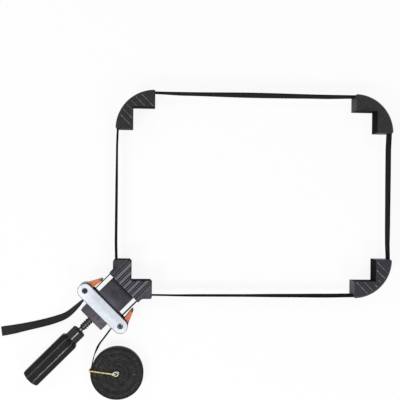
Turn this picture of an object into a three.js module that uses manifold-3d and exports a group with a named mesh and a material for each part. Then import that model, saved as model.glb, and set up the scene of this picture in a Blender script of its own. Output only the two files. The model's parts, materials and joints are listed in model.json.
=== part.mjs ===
// Picture-frame band clamp. One loop of woven band runs round three loose corner jaws and one main
// jaw, and pulls them square against a frame. Two aluminium plates grip the loop's ends with cam
// levers, and a screw with a handle drives the plates and the main jaw apart to tighten the loop.
//
// Millimetres, +Z up, the table at z = 0. X and Y run along the clamped frame's sides. The origin is
// on the main jaw's sole, on the screw's axis, just behind the jaw's square notch.

import * as THREE from 'three';
import { mergeVertices } from 'three/addons/utils/BufferGeometryUtils.js';
import Module from 'manifold-3d';

const wasm = await Module();
wasm.setup();

// The clamped frame, and the clearances that every fit shares
const FRAME_LENGTH = 393;
const FRAME_WIDTH = 275;
const NOTCH_INSET = 4;
const CLEARANCE = 0.3;
const OVERRUN = 1;

// Woven band
const BAND_WIDTH = 15;
const BAND_THICKNESS = 1.2;
const BAND_OFFSET = 24;
const BAND_BEND_RADIUS = 4;
const LINK_LINE = 30.3;

// Corner jaws
const JAW_HEIGHT = 30;
const JAW_ARM = 35;
const JAW_BACK = 27;
const FLANGE_THICKNESS = 6.8;
const FLANGE_BEVEL = 3;
const ARM_CHAMFER_DEGREES = 2;
const RIDGE_COUNT = 6;
const RIDGE_SPACING = 9.3;
const RIDGE_WIDTH = 0.9;
const RIDGE_HEIGHT = 0.6;
const RIDGE_MARGIN = 1.2;

// Main jaw: each wing is measured along and away from its side of the notch
const WING_LENGTH = 33;
const WING_BACK = 28.5;
const WING_STRAIGHT = 11;
const WING_TOE_CHAMFER = 3.2;
const WING_BACK_CHAMFER = 2;
const GUIDE_LENGTH = 24;
const HEEL_ALONG = 12.8;
const HEEL_BACK = 33.4;
const JAW_REAR = 16;
const REAR_HALF_WIDTH = 32;
const RIB_WIDTH = 1.5;
const RIB_GROOVE = 1.3;
const RIB_GROOVE_DEPTH = 1.5;
const RIB_HEIGHT = 0.5;

// Sleeve behind the main jaw, and the seat for the screw's thrust plate
const SLEEVE_WIDTH = 45;
const SLEEVE_HEIGHT = 22;
const SLEEVE_WALL = 2.6;
const SLEEVE_EDGE_RADIUS = 1.6;
const ROOT_GROOVE_WIDTH = 2;
const ROOT_GROOVE_DEPTH = 1.2;
const NOTCH_WALL = 3.6;
const CLIP_POCKET_DEPTH = 4.9;
const CLIP_POCKET_RADIUS = 6;
const THRUST_THICKNESS = 2.5;
const THRUST_HALF_WIDTH = 21;
const THRUST_HALF_HEIGHT = 10;

// Tensioner: where its centre lies, and how far it can still slide towards the main jaw. It slides
// the other way until the nut block meets the handle
const TENSIONER_BACK = 62.3;
const TRAVEL_IN = 10;
const PLATE_LENGTH = 102.5;
const PLATE_WIDTH = 23.5;
const PLATE_THICKNESS = 2.7;
const ANVIL_LENGTH = 17;
const ANVIL_TEETH = 8;
const ANVIL_TOOTH_DEPTH = 0.5;
const PEG_RADIUS = 2;
const PEG_SPACING = 10;

// Cam pins and the bushes that the levers turn on
const PIN_RADIUS = 3;
const PIN_HEAD_RADIUS = 4.2;
const PIN_HEAD_HEIGHT = 1.5;
const SOCKET_WIDTH = 4;
const SOCKET_DEPTH = 1.1;
const BUSH_WALL = 1.1;

// Cam levers, measured from their pin: across towards the band, and along the screw's axis. Both
// lean the same way round, so that one tip stands nearer to the band than the other
const CAM_DROP = 1.8;
const LEVER_PLAY = 0.6;
const LEVER_INNER_DEGREES = 62;
const LEVER_OUTER_DEGREES = 148;
const LEVER_SHOULDER_ACROSS = -6.4;
const LEVER_SHOULDER_ALONG = 10.5;
const LEVER_TIP_ACROSS = 5.2;
const LEVER_TIP_ALONG = 30;
const LEVER_TIP_RADIUS = 1.9;
const LEVER_TIP_DEGREES = 160;
const LEVER_LEAN_DEGREES = 2;

// Nut block with its tongue, nut and screws
const BLOCK_DEPTH = 13.75;
const BLOCK_SEAT = 8;
const BLOCK_EDGE_RADIUS = 1.2;
const NUT_WIDTH = 18;
const NUT_THICKNESS = 6.4;
const NUT_FRONT_WALL = 1;
const BLOCK_SCREW_LINE = 16;
const BLOCK_SCREW_RADIUS = 1.6;
const BLOCK_SCREW_LENGTH = 10;
const BLOCK_SCREW_HEAD_RADIUS = 3;
const BLOCK_SCREW_HEAD_HEIGHT = 1.4;
const SCREW_SLOT_WIDTH = 1;
const SCREW_SLOT_DEPTH = 0.6;

// Screw spindle
const THREAD_RADIUS = 6;
const THREAD_DEPTH = 1.3;
const THREAD_PITCH = 4;
const THREAD_ROOT_WIDTH = 2.9;
const THREAD_CREST_WIDTH = 1.1;
const NECK_RADIUS = 4;
const NECK_LENGTH = 6;
const SHANK_RADIUS = 4.7;
const TIP_RADIUS = 3;
const TIP_LENGTH = 7;
const CLIP_RADIUS = 5;
const CLIP_THICKNESS = 0.8;
const CLIP_GROOVE_DEPTH = 0.7;
const CLIP_MOUTH = 4.4;

// Handle
const VISIBLE_SCREW = 26.5;
const HANDLE_LENGTH = 108;
const COLLAR_RADIUS = 11.2;
const COLLAR_LENGTH = 17;
const COLLAR_CHAMFER = 0.8;
const SHOULDER_LENGTH = 6.5;
const GRIP_WIDTH = 29.8;
const GRIP_EDGE_RADIUS = 3;
const GRIP_END_CHAMFER = 2.5;
const HANDLE_BORE_DEPTH = 14;

// Spare band. Its routes are measured from the notch's corner, and the roll of the tail is how far
// the band leans over from standing on its edge
const GRIP_FRONT = 8.5;
const LINK_PLAY = 0.3;
const TAIL_ROUTE = [
  [-85.9, -42.2], [-102.3, -56.4], [-118.1, -64], [-134.8, -69], [-150.6, -72.8], [-167.1, -76.5],
  [-185.6, -80.6], [-205, -84.2],
];
const TAIL_HEIGHTS = [12.9, 8.9, 6.6, 5.9, 5.8, 5.5, 4, 1.4];
const TAIL_ROLL_DEGREES = [17, 31, 41, 45, 46, 49, 64, 85];
const TAIL_STEPS = 40;
const LEAD_ROUTE = [[-41.5, -92], [-50.3, -104.4]];
const LEAD_HEIGHTS = [12.6, 9.2];
const LEAD_STEPS = 20;
const EXIT_STRAIGHT = 4;
const EXIT_BEND = 2;
const LEAD_EXIT_SLOPE = 0.19;

// Coil of spare band, and the wire that ties it
const COIL_CENTRE = [-20.9, -149.4];
const COIL_RADIUS = 41.9;
const COIL_PITCH = 1.65;
const COIL_LOOPS = 23;
const COIL_STEPS = 24;
const COIL_START_DEGREES = 166;
const COIL_STRAIGHT = 15;
const TIE_DEGREES = 174;
const TIE_RADIUS = 0.6;
const TIE_BEND_RADIUS = 1.5;
const TIE_STEPS = 8;
const KNOT_RADIUS = 1.3;
const KNOT_LENGTH = 9;
const KNOT_OUT = 2.5;

// Counts of steps on round stretches
const QUARTER_STEPS = 22;
const CAM_STEPS = 11;
const COLLAR_SIDES = 24;
const ROUND_SIDES = 20;
const SMALL_SIDES = 12;
const WIRE_SIDES = 6;
const PLATE_STEPS = 8;
const BEND_STEPS = 4;
const EDGE_STEPS = 2;
const GRIP_FLATS = 8;

// Places that follow from the sizes above
const AXIS_HEIGHT = JAW_HEIGHT / 2;
const JAW_RADIUS = JAW_ARM + JAW_BACK;
const BAND_HALF = BAND_THICKNESS / 2;
const CHANNEL_HALF = BAND_HALF + CLEARANCE;
const CHANNEL_BACK = BAND_OFFSET - CHANNEL_HALF;
const PLATE_END_RADIUS = PLATE_WIDTH / 2;
const PIN_LINE = PLATE_LENGTH / 2 - PLATE_END_RADIUS;
const PLATE_GAP = SLEEVE_HEIGHT + 2 * CLEARANCE;
const UPPER_PLATE_FLOOR = AXIS_HEIGHT + PLATE_GAP / 2;
const UPPER_PLATE_TOP = UPPER_PLATE_FLOOR + PLATE_THICKNESS;
const LOWER_PLATE_TOP = AXIS_HEIGHT - PLATE_GAP / 2;
const LOWER_PLATE_FLOOR = LOWER_PLATE_TOP - PLATE_THICKNESS;
const INNER_FLOOR = LOWER_PLATE_TOP + CLEARANCE;
const INNER_TOP = UPPER_PLATE_FLOOR - CLEARANCE;
const CAM_RADIUS = PIN_LINE - LINK_LINE - CHANNEL_HALF;
const BUSH_RADIUS = PIN_RADIUS + CLEARANCE + BUSH_WALL;
const THREAD_BORE = THREAD_RADIUS + CLEARANCE;
const CAVITY_HALF_WIDTH = SLEEVE_WIDTH / 2 - SLEEVE_WALL;
const CAVITY_HALF_HEIGHT = SLEEVE_HEIGHT / 2 - SLEEVE_WALL;

// Places along the screw's axis, from the tensioner's centre towards the main jaw
const POCKET_END = TENSIONER_BACK - NOTCH_WALL;
const THRUST_SLOT_FRONT = POCKET_END - CLIP_POCKET_DEPTH;
const THRUST_SLOT_REAR = THRUST_SLOT_FRONT - THRUST_THICKNESS - 2 * CLEARANCE;
const TONGUE_FRONT = THRUST_SLOT_REAR - TRAVEL_IN - CLEARANCE;
const BLOCK_FRONT = BLOCK_SEAT - PLATE_END_RADIUS;
const BLOCK_SHOULDER = -PLATE_END_RADIUS - CLEARANCE;
const BLOCK_REAR = -PLATE_END_RADIUS - BLOCK_DEPTH;
const SLEEVE_REAR = BLOCK_FRONT + TRAVEL_IN + CLEARANCE;
const NUT_CENTRE = BLOCK_FRONT - NUT_FRONT_WALL - CLEARANCE - NUT_THICKNESS / 2;
const HANDLE_FRONT = BLOCK_REAR - VISIBLE_SCREW;
const THREAD_REAR = HANDLE_FRONT + NECK_LENGTH;
const THREAD_LENGTH = NUT_CENTRE + NUT_THICKNESS / 2 + TRAVEL_IN + THREAD_PITCH / 2 - THREAD_REAR;
const SPINDLE_SHOULDER = THRUST_SLOT_REAR;
const CLIP_REAR = THRUST_SLOT_FRONT + CLEARANCE;
const LINK_FRONT = TENSIONER_BACK - JAW_REAR - LINK_PLAY;

// Colours and finishes
const finish = (color, roughness, metalness = 0) =>
  new THREE.MeshStandardMaterial({ color, roughness, metalness });
const JAW_PLASTIC = finish(0x38383d, 0.5);
const MAIN_PLASTIC = finish(0x55545c, 0.45);
const BLOCK_PLASTIC = finish(0x5a585f, 0.5);
const HANDLE_PLASTIC = finish(0x262626, 0.4);
const LEVER_PLASTIC = finish(0xe17041, 0.45);
const WEBBING = finish(0x2a2b2b, 0.9);
const PLATE_ALUMINIUM = finish(0xe1e4ee, 0.35, 0.9);
const BLACK_STEEL = finish(0x202022, 0.35, 0.8);
const BRIGHT_STEEL = finish(0xb8bbc2, 0.3, 0.9);
const TIE_WIRE = finish(0xdcd28c, 0.5);

const root = new THREE.Group();

// The frame of the main jaw: x across the screw's axis, y along it, zero at the notch's corner
const jawFrame = new THREE.Group();
jawFrame.position.set(NOTCH_INSET, NOTCH_INSET, 0);
jawFrame.rotation.z = -Math.PI / 4;
root.add(jawFrame);

// The frame of the tensioner: turned alike, zero at the middle of its plates
const tensionerFrame = new THREE.Group();
tensionerFrame.position.y = -TENSIONER_BACK;
jawFrame.add(tensionerFrame);

// The frame of the clamped frame's sides, zero at the main jaw's notch
const sideFrame = new THREE.Group();
sideFrame.position.set(NOTCH_INSET, NOTCH_INSET, 0);
root.add(sideFrame);

function add(group, name, geometry, material) {
  const mesh = new THREE.Mesh(geometry, material);
  mesh.name = name;
  group.add(mesh);
  return mesh;
}

// Closed geometry to a solid, and back
function solidOf(geometry) {
  const bare = new THREE.BufferGeometry();
  bare.setAttribute('position', geometry.getAttribute('position'));
  if (geometry.index) bare.setIndex(geometry.index);
  const merged = mergeVertices(bare);
  return new wasm.Manifold(new wasm.Mesh({
    numProp: 3,
    vertProperties: new Float32Array(merged.getAttribute('position').array),
    triVerts: new Uint32Array(merged.index.array),
  }));
}

function geometryOf(solid) {
  const mesh = solid.getMesh();
  const geometry = new THREE.BufferGeometry();
  geometry.setAttribute('position', new THREE.BufferAttribute(mesh.vertProperties, mesh.numProp));
  geometry.setIndex(new THREE.BufferAttribute(mesh.triVerts, 1));
  return geometry;
}

function joined(...geometries) {
  const [first, ...others] = geometries.map(solidOf);
  return geometryOf(others.reduce((whole, piece) => whole.add(piece), first));
}

function cut(geometry, ...tools) {
  return geometryOf(tools.map(solidOf).reduce((left, tool) => left.subtract(tool), solidOf(geometry)));
}

// A closed body from rings of points, each ring joined to the next and the two ends capped
function sweep(rings) {
  const count = rings[0].length;
  const positions = rings.flat().flatMap((p) => [p.x, p.y, p.z]);
  const index = [];
  for (let ring = 0; ring + 1 < rings.length; ring += 1) {
    for (let i = 0; i < count; i += 1) {
      const a = ring * count + i;
      const b = ring * count + ((i + 1) % count);
      index.push(a, b, b + count, a, b + count, a + count);
    }
  }
  const last = (rings.length - 1) * count;
  for (const [a, b, c] of capOf(rings[0])) index.push(c, b, a);
  for (const [a, b, c] of capOf(rings[rings.length - 1])) index.push(last + a, last + b, last + c);
  const geometry = new THREE.BufferGeometry();
  geometry.setAttribute('position', new THREE.Float32BufferAttribute(positions, 3));
  geometry.setIndex(signedVolume(positions, index) < 0 ? index.reverse() : index);
  return geometry;
}

// Triangles that fill a flat ring of points
function capOf(ring) {
  const normal = new THREE.Vector3();
  ring.forEach((p, i) => normal.add(p.clone().cross(ring[(i + 1) % ring.length])));
  const across = ring[1].clone().sub(ring[0]).normalize();
  const up = normal.normalize().clone().cross(across);
  return THREE.ShapeUtils.triangulateShape(
    ring.map((p) => new THREE.Vector2(p.dot(across), p.dot(up))), []);
}

function signedVolume(positions, index) {
  const point = (i) => new THREE.Vector3().fromArray(positions, 3 * i);
  let volume = 0;
  for (let i = 0; i < index.length; i += 3) {
    volume += point(index[i]).dot(point(index[i + 1]).cross(point(index[i + 2])));
  }
  return volume;
}

// A solid of stacked flat outlines, each at its height
function stack(...levels) {
  return sweep(levels.map(([outline, z]) => outline.map((p) => new THREE.Vector3(p.x, p.y, z))));
}

function prism(outline, floor, top) {
  return stack([outline, floor], [outline, top]);
}

function box(left, right, near, far, floor, top) {
  const geometry = new THREE.BoxGeometry(right - left, far - near, top - floor);
  return geometry.translate((left + right) / 2, (near + far) / 2, (floor + top) / 2);
}

function circle(radius, sides = ROUND_SIDES) {
  return arc(0, 0, radius, 0, 2 * Math.PI, sides).slice(0, sides);
}

function disc(radius, floor, top, x = 0, y = 0, sides = ROUND_SIDES) {
  return prism(circle(radius, sides), floor, top).translate(x, y, 0);
}

function smallDisc(radius, floor, top, x = 0, y = 0) {
  return disc(radius, floor, top, x, y, SMALL_SIDES);
}

function arc(x, y, radius, from, to, steps) {
  return Array.from({ length: steps + 1 }, (_, i) => {
    const angle = from + ((to - from) * i) / steps;
    return new THREE.Vector2(x + radius * Math.cos(angle), y + radius * Math.sin(angle));
  });
}

// A rectangle with round corners, for sections and plates
function roundedRectangle(halfWidth, halfHeight, radius, steps) {
  const [x, y] = [halfWidth - radius, halfHeight - radius];
  const quarter = Math.PI / 2;
  return [[x, y, 0], [-x, y, 1], [-x, -y, 2], [x, -y, 3]].flatMap(([cx, cy, turn]) =>
    arc(cx, cy, radius, turn * quarter, (turn + 1) * quarter, steps));
}

// Pieces drawn upright and laid along the screw's axis, pointing to the jaw or to the handle
function towardsJaw(geometry, start) {
  return geometry.rotateX(-Math.PI / 2).translate(0, start, AXIS_HEIGHT);
}

function towardsHandle(geometry, start) {
  return geometry.rotateX(Math.PI / 2).translate(0, start, AXIS_HEIGHT);
}

// A flat band along a path: its width turns from upright by the roll at each point
function ribbon(points, width, thickness, rolls = []) {
  return sweep(points.map((point, i) => {
    const before = points[Math.max(i - 1, 0)];
    const after = points[Math.min(i + 1, points.length - 1)];
    const along = after.clone().sub(before).normalize();
    const flat = new THREE.Vector3(0, 0, 1).cross(along).normalize();
    const upright = along.clone().cross(flat).normalize();
    const roll = rolls[i] ?? 0;
    const across = upright.clone().multiplyScalar(Math.cos(roll))
      .addScaledVector(flat, Math.sin(roll));
    const normal = across.clone().cross(along).normalize();
    return [[-1, -1], [1, -1], [1, 1], [-1, 1]].map(([side, face]) => point.clone()
      .addScaledVector(across, (side * width) / 2)
      .addScaledVector(normal, (face * thickness) / 2));
  }));
}

const raised = (points, z) => points.map((p) => new THREE.Vector3(p.x, p.y, z));
const mirrored = (points) => points.map((p) => new THREE.Vector2(-p.x, p.y)).reverse();

// Points on a turned frame's axes, as points on the clamped frame's axes
const TURN = Math.SQRT1_2;
const toSides = (p) => new THREE.Vector2((p.x + p.y) * TURN, (p.y - p.x) * TURN);

// Corner jaws: the notch's corner is at zero and the clamped frame fills the quarter x > 0, y > 0
function cornerOutline(inset) {
  const radius = JAW_RADIUS - inset;
  const chamfer = THREE.MathUtils.degToRad(ARM_CHAMFER_DEGREES);
  const back = arc(JAW_ARM, JAW_ARM, radius, Math.PI + chamfer, 1.5 * Math.PI - chamfer, QUARTER_STEPS);
  const toe = JAW_BACK - inset - radius * Math.sin(chamfer) / 2;
  return [
    new THREE.Vector2(0, 0), new THREE.Vector2(0, JAW_ARM), new THREE.Vector2(-toe, JAW_ARM),
    ...back, new THREE.Vector2(JAW_ARM, -toe), new THREE.Vector2(JAW_ARM, 0),
  ];
}

const ridgePlaces = Array.from({ length: RIDGE_COUNT }, (_, i) =>
  (i - (RIDGE_COUNT - 1) / 2) * RIDGE_SPACING);

// Raised ridges run along the corner's diagonal, from the notch to the bevel
function cornerRidges() {
  const toArc = JAW_ARM * Math.SQRT2;
  const edgeRadius = JAW_RADIUS - FLANGE_BEVEL;
  return ridgePlaces.map((across) => {
    const rear = toArc - Math.sqrt(edgeRadius ** 2 - across ** 2) + RIDGE_MARGIN;
    const front = Math.abs(across) - RIDGE_MARGIN;
    return box(across - RIDGE_WIDTH / 2, across + RIDGE_WIDTH / 2, rear, front,
      JAW_HEIGHT - RIDGE_HEIGHT, JAW_HEIGHT + RIDGE_HEIGHT).rotateZ(-Math.PI / 4);
  });
}

function cornerJaw() {
  const full = cornerOutline(0);
  const bevelled = cornerOutline(FLANGE_BEVEL);
  const channel = cornerOutline(JAW_BACK - CHANNEL_BACK);
  const body = stack(
    [bevelled, 0], [full, FLANGE_BEVEL], [full, FLANGE_THICKNESS], [channel, FLANGE_THICKNESS],
    [channel, JAW_HEIGHT - FLANGE_THICKNESS], [full, JAW_HEIGHT - FLANGE_THICKNESS],
    [full, JAW_HEIGHT - FLANGE_BEVEL], [bevelled, JAW_HEIGHT]);
  return joined(body, ...cornerRidges());
}

const CORNERS = [
  ['corner_jaw_top_left', 0, FRAME_WIDTH, -Math.PI / 2],
  ['corner_jaw_top_right', FRAME_LENGTH, FRAME_WIDTH, Math.PI],
  ['corner_jaw_bottom_right', FRAME_LENGTH, 0, Math.PI / 2],
];
for (const [name, x, y, turn] of CORNERS) {
  const jaw = add(sideFrame, name, cornerJaw(), JAW_PLASTIC);
  jaw.position.set(x, y, 0);
  jaw.rotation.z = turn;
}

// Main jaw. A point along and away from the right side of the notch, in the main jaw's frame
const wing = (along, back) => new THREE.Vector2((along + back) * TURN, (along - back) * TURN);

function mainOutline() {
  const curve = new THREE.QuadraticBezierCurve(
    wing(WING_LENGTH - WING_BACK_CHAMFER - WING_STRAIGHT, WING_BACK),
    wing(HEEL_ALONG + WING_TOE_CHAMFER, WING_BACK), wing(HEEL_ALONG, HEEL_BACK));
  const right = [
    wing(WING_LENGTH - WING_TOE_CHAMFER, 0), wing(WING_LENGTH, WING_TOE_CHAMFER),
    wing(WING_LENGTH, WING_BACK - WING_BACK_CHAMFER), wing(WING_LENGTH - WING_BACK_CHAMFER, WING_BACK),
    ...curve.getPoints(BEND_STEPS), new THREE.Vector2(REAR_HALF_WIDTH, -JAW_REAR),
  ];
  return [new THREE.Vector2(0, 0), ...right, ...mirrored(right)];
}

// The band's line through the right wing: in at the wing's end, round the guide, out at the rear
function wingLine(from, rear) {
  const centreX = LINK_LINE + BAND_BEND_RADIUS;
  const centreY = centreX - (BAND_OFFSET + BAND_BEND_RADIUS) * Math.SQRT2;
  const bend = arc(centreX, centreY, BAND_BEND_RADIUS, 0.75 * Math.PI, Math.PI, BEND_STEPS);
  return [wing(from, BAND_OFFSET), ...bend, new THREE.Vector2(LINK_LINE, rear)];
}

// Outside the band the wings' ends are open, as the corner jaws are
function openWing() {
  return [
    wing(GUIDE_LENGTH, CHANNEL_BACK + CHANNEL_HALF), wing(GUIDE_LENGTH, WING_BACK + OVERRUN),
    wing(WING_LENGTH + OVERRUN, WING_BACK + OVERRUN),
    wing(WING_LENGTH + OVERRUN, CHANNEL_BACK + CHANNEL_HALF),
  ];
}

// The main jaw's ribs stand in grooves, in line with the corner jaws' ridges
function ribGroove(across) {
  const half = RIB_WIDTH / 2 + RIB_GROOVE;
  return box(across - half, across + half, -JAW_REAR - OVERRUN, REAR_HALF_WIDTH,
    JAW_HEIGHT - RIB_GROOVE_DEPTH, JAW_HEIGHT + OVERRUN);
}

function rib(across) {
  return box(across - RIB_WIDTH / 2, across + RIB_WIDTH / 2, -JAW_REAR, Math.abs(across) - RIDGE_MARGIN,
    JAW_HEIGHT - RIB_GROOVE_DEPTH - OVERRUN, JAW_HEIGHT + RIB_HEIGHT);
}

function sleeve(halfWidth, halfHeight, radius, rear, front) {
  const section = roundedRectangle(halfWidth, halfHeight, radius, EDGE_STEPS);
  return towardsJaw(prism(section, 0, front - rear), rear - TENSIONER_BACK);
}

function mainJaw() {
  const body = joined(
    prism(mainOutline(), 0, JAW_HEIGHT),
    sleeve(SLEEVE_WIDTH / 2, SLEEVE_HEIGHT / 2, SLEEVE_EDGE_RADIUS, SLEEVE_REAR, THRUST_SLOT_REAR));
  const channelFloor = FLANGE_THICKNESS;
  const channelTop = JAW_HEIGHT - FLANGE_THICKNESS;
  const line = wingLine(WING_LENGTH + OVERRUN, -JAW_REAR - OVERRUN);
  const channels = [line, mirrored(line)].map((points) =>
    ribbon(raised(points, AXIS_HEIGHT), channelTop - channelFloor, 2 * CHANNEL_HALF));
  const open = [openWing(), mirrored(openWing())].map((outline) =>
    prism(outline, channelFloor, channelTop));
  const slotReach = [THRUST_SLOT_REAR - TENSIONER_BACK, THRUST_SLOT_FRONT - TENSIONER_BACK];
  const seat = box(-THRUST_HALF_WIDTH - CLEARANCE, THRUST_HALF_WIDTH + CLEARANCE, ...slotReach,
    -OVERRUN, AXIS_HEIGHT + THRUST_HALF_HEIGHT + CLEARANCE);
  const cavity = sleeve(CAVITY_HALF_WIDTH, CAVITY_HALF_HEIGHT, CLEARANCE,
    SLEEVE_REAR - OVERRUN, THRUST_SLOT_REAR + OVERRUN);
  const pocket = towardsJaw(disc(CLIP_POCKET_RADIUS, 0, CLIP_POCKET_DEPTH + OVERRUN),
    slotReach[1] - OVERRUN);
  const rootGroove = box(-SLEEVE_WIDTH / 2 - OVERRUN, SLEEVE_WIDTH / 2 + OVERRUN,
    -JAW_REAR - ROOT_GROOVE_WIDTH, -JAW_REAR, AXIS_HEIGHT + SLEEVE_HEIGHT / 2 - ROOT_GROOVE_DEPTH,
    JAW_HEIGHT + OVERRUN);
  const hollowed = cut(body, ...channels, ...open, seat, cavity, pocket, rootGroove,
    ...ridgePlaces.map(ribGroove));
  return joined(hollowed, ...ridgePlaces.map(rib));
}
add(jawFrame, 'main_jaw', mainJaw(), MAIN_PLASTIC);

// The screw pushes on a steel plate that stands in a seat across the end of the sleeve
function thrustPlate() {
  const plate = box(-THRUST_HALF_WIDTH, THRUST_HALF_WIDTH, THRUST_SLOT_REAR + CLEARANCE,
    THRUST_SLOT_FRONT - CLEARANCE, AXIS_HEIGHT - THRUST_HALF_HEIGHT, AXIS_HEIGHT + THRUST_HALF_HEIGHT);
  const hole = towardsJaw(disc(TIP_RADIUS + CLEARANCE, 0, THRUST_THICKNESS + 2 * OVERRUN),
    THRUST_SLOT_REAR - OVERRUN + CLEARANCE);
  return cut(plate, hole);
}
add(tensionerFrame, 'thrust_plate', thrustPlate(), BRIGHT_STEEL);

// Band loop: from one side of the main jaw's rear edge round the corner jaws to the other
function bandLoop() {
  const radius = JAW_ARM + BAND_OFFSET;
  const quarter = Math.PI / 2;
  const right = wingLine(WING_LENGTH, -JAW_REAR);
  const [left, far, top] = [JAW_ARM, FRAME_LENGTH - JAW_ARM, FRAME_WIDTH - JAW_ARM];
  const path = [
    ...mirrored(right).map(toSides),
    ...arc(left, top, radius, 2 * quarter, quarter, QUARTER_STEPS),
    ...arc(far, top, radius, quarter, 0, QUARTER_STEPS),
    ...arc(far, left, radius, 0, -quarter, QUARTER_STEPS),
    ...right.map(toSides),
  ];
  return ribbon(raised(path, AXIS_HEIGHT), BAND_WIDTH, BAND_THICKNESS);
}
add(sideFrame, 'band_loop', bandLoop(), WEBBING);

// The stretch between the main jaw and each cam
for (const [name, side] of [['band_link_left', -1], ['band_link_right', 1]]) {
  const ends = [GRIP_FRONT + LINK_PLAY, LINK_FRONT].map((y) => new THREE.Vector2(side * LINK_LINE, y));
  add(tensionerFrame, name, ribbon(raised(ends, AXIS_HEIGHT), BAND_WIDTH, BAND_THICKNESS), WEBBING);
}

// Plates
function stadium() {
  const quarter = Math.PI / 2;
  return [[PIN_LINE, -1], [-PIN_LINE, 1]].flatMap(([x, turn]) =>
    arc(x, 0, PLATE_END_RADIUS, turn * quarter, (turn + 2) * quarter, 2 * PLATE_STEPS));
}

const SIDES = [['left', -1], ['right', 1]];

function upperPlate() {
  const headFloor = UPPER_PLATE_TOP - PIN_HEAD_HEIGHT - CLEARANCE;
  const holes = SIDES.flatMap(([, side]) => [
    disc(PIN_RADIUS + CLEARANCE, UPPER_PLATE_FLOOR - OVERRUN, UPPER_PLATE_TOP, side * PIN_LINE),
    disc(PIN_HEAD_RADIUS + CLEARANCE, headFloor, UPPER_PLATE_TOP + OVERRUN, side * PIN_LINE),
  ]);
  return cut(prism(stadium(), UPPER_PLATE_FLOOR, UPPER_PLATE_TOP), ...holes);
}

function lowerPlate() {
  const [below, above] = [LOWER_PLATE_FLOOR - OVERRUN, LOWER_PLATE_TOP + OVERRUN];
  const headTop = LOWER_PLATE_FLOOR + BLOCK_SCREW_HEAD_HEIGHT + CLEARANCE;
  const holes = SIDES.flatMap(([, side]) => [
    disc(PIN_RADIUS + CLEARANCE, below, above, side * PIN_LINE),
    smallDisc(BLOCK_SCREW_RADIUS + CLEARANCE, below, above, side * BLOCK_SCREW_LINE, NUT_CENTRE),
    smallDisc(BLOCK_SCREW_HEAD_RADIUS + CLEARANCE, below, headTop, side * BLOCK_SCREW_LINE, NUT_CENTRE),
    ...pegPlaces(side).map(([x, y]) => smallDisc(PEG_RADIUS + CLEARANCE, below, above, x, y)),
  ]);
  return cut(prism(stadium(), LOWER_PLATE_FLOOR, LOWER_PLATE_TOP), ...holes);
}

// Anvils: toothed blocks between the plates, behind the band at each cam
const ANVIL_INNER = SLEEVE_WIDTH / 2 + CLEARANCE;
const ANVIL_OUTER = LINK_LINE - CHANNEL_HALF;

function pegPlaces(side) {
  return [-1, 1].map((end) => [side * (ANVIL_INNER + ANVIL_OUTER) / 2, (end * PEG_SPACING) / 2]);
}

function anvil(side) {
  const tooth = ANVIL_LENGTH / ANVIL_TEETH;
  const teeth = Array.from({ length: 2 * ANVIL_TEETH + 1 }, (_, i) => new THREE.Vector2(
    ANVIL_OUTER - (i % 2 ? 0 : ANVIL_TOOTH_DEPTH), (i * tooth - ANVIL_LENGTH) / 2));
  const right = [...teeth, new THREE.Vector2(ANVIL_INNER, ANVIL_LENGTH / 2),
    new THREE.Vector2(ANVIL_INNER, -ANVIL_LENGTH / 2)];
  const outline = side > 0 ? right : mirrored(right);
  const pegs = pegPlaces(side).map(([x, y]) =>
    smallDisc(PEG_RADIUS, LOWER_PLATE_FLOOR + CLEARANCE, INNER_FLOOR + OVERRUN, x, y));
  return joined(prism(outline, INNER_FLOOR, INNER_TOP), ...pegs);
}

// Cam levers: round the pin the cam falls away from the band as the lever opens
function leverOutline() {
  const rad = THREE.MathUtils.degToRad;
  const cam = (degrees, drop) => {
    const radius = CAM_RADIUS - drop * CAM_DROP;
    return new THREE.Vector2(radius * Math.cos(rad(degrees)), radius * Math.sin(rad(degrees)));
  };
  const steps = Array.from({ length: CAM_STEPS }, (_, i) => i / CAM_STEPS);
  const back = steps.map((share) =>
    cam(LEVER_OUTER_DEGREES + (270 - LEVER_OUTER_DEGREES) * share, share));
  const lobe = steps.map((share) => cam(270 + 90 * share, 1 - share));
  const nose = steps.filter((_, i) => i % 2 === 0).map((share) => cam(LEVER_INNER_DEGREES * share, 0));
  const tip = arc(LEVER_TIP_ACROSS, LEVER_TIP_ALONG, LEVER_TIP_RADIUS, 0, rad(LEVER_TIP_DEGREES),
    BEND_STEPS);
  return [...back, ...lobe, ...nose, cam(LEVER_INNER_DEGREES, 0), ...tip,
    new THREE.Vector2(LEVER_SHOULDER_ACROSS, LEVER_SHOULDER_ALONG)];
}

function camLever(side) {
  const outline = side < 0 ? leverOutline() : mirrored(leverOutline());
  const lever = prism(outline, INNER_FLOOR + LEVER_PLAY, INNER_TOP - LEVER_PLAY);
  return cut(lever, disc(BUSH_RADIUS + CLEARANCE, INNER_FLOOR, INNER_TOP))
    .rotateZ(-THREE.MathUtils.degToRad(LEVER_LEAN_DEGREES));
}

function camPin() {
  const socket = disc(SOCKET_WIDTH / Math.sqrt(3), UPPER_PLATE_TOP - SOCKET_DEPTH,
    UPPER_PLATE_TOP + OVERRUN, 0, 0, 6);
  const head = disc(PIN_HEAD_RADIUS, UPPER_PLATE_TOP - PIN_HEAD_HEIGHT, UPPER_PLATE_TOP);
  return cut(joined(disc(PIN_RADIUS, LOWER_PLATE_FLOOR, UPPER_PLATE_TOP - OVERRUN), head), socket);
}

function camBush() {
  return cut(disc(BUSH_RADIUS, INNER_FLOOR, INNER_TOP),
    disc(PIN_RADIUS + CLEARANCE, INNER_FLOOR - OVERRUN, INNER_TOP + OVERRUN));
}

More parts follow.
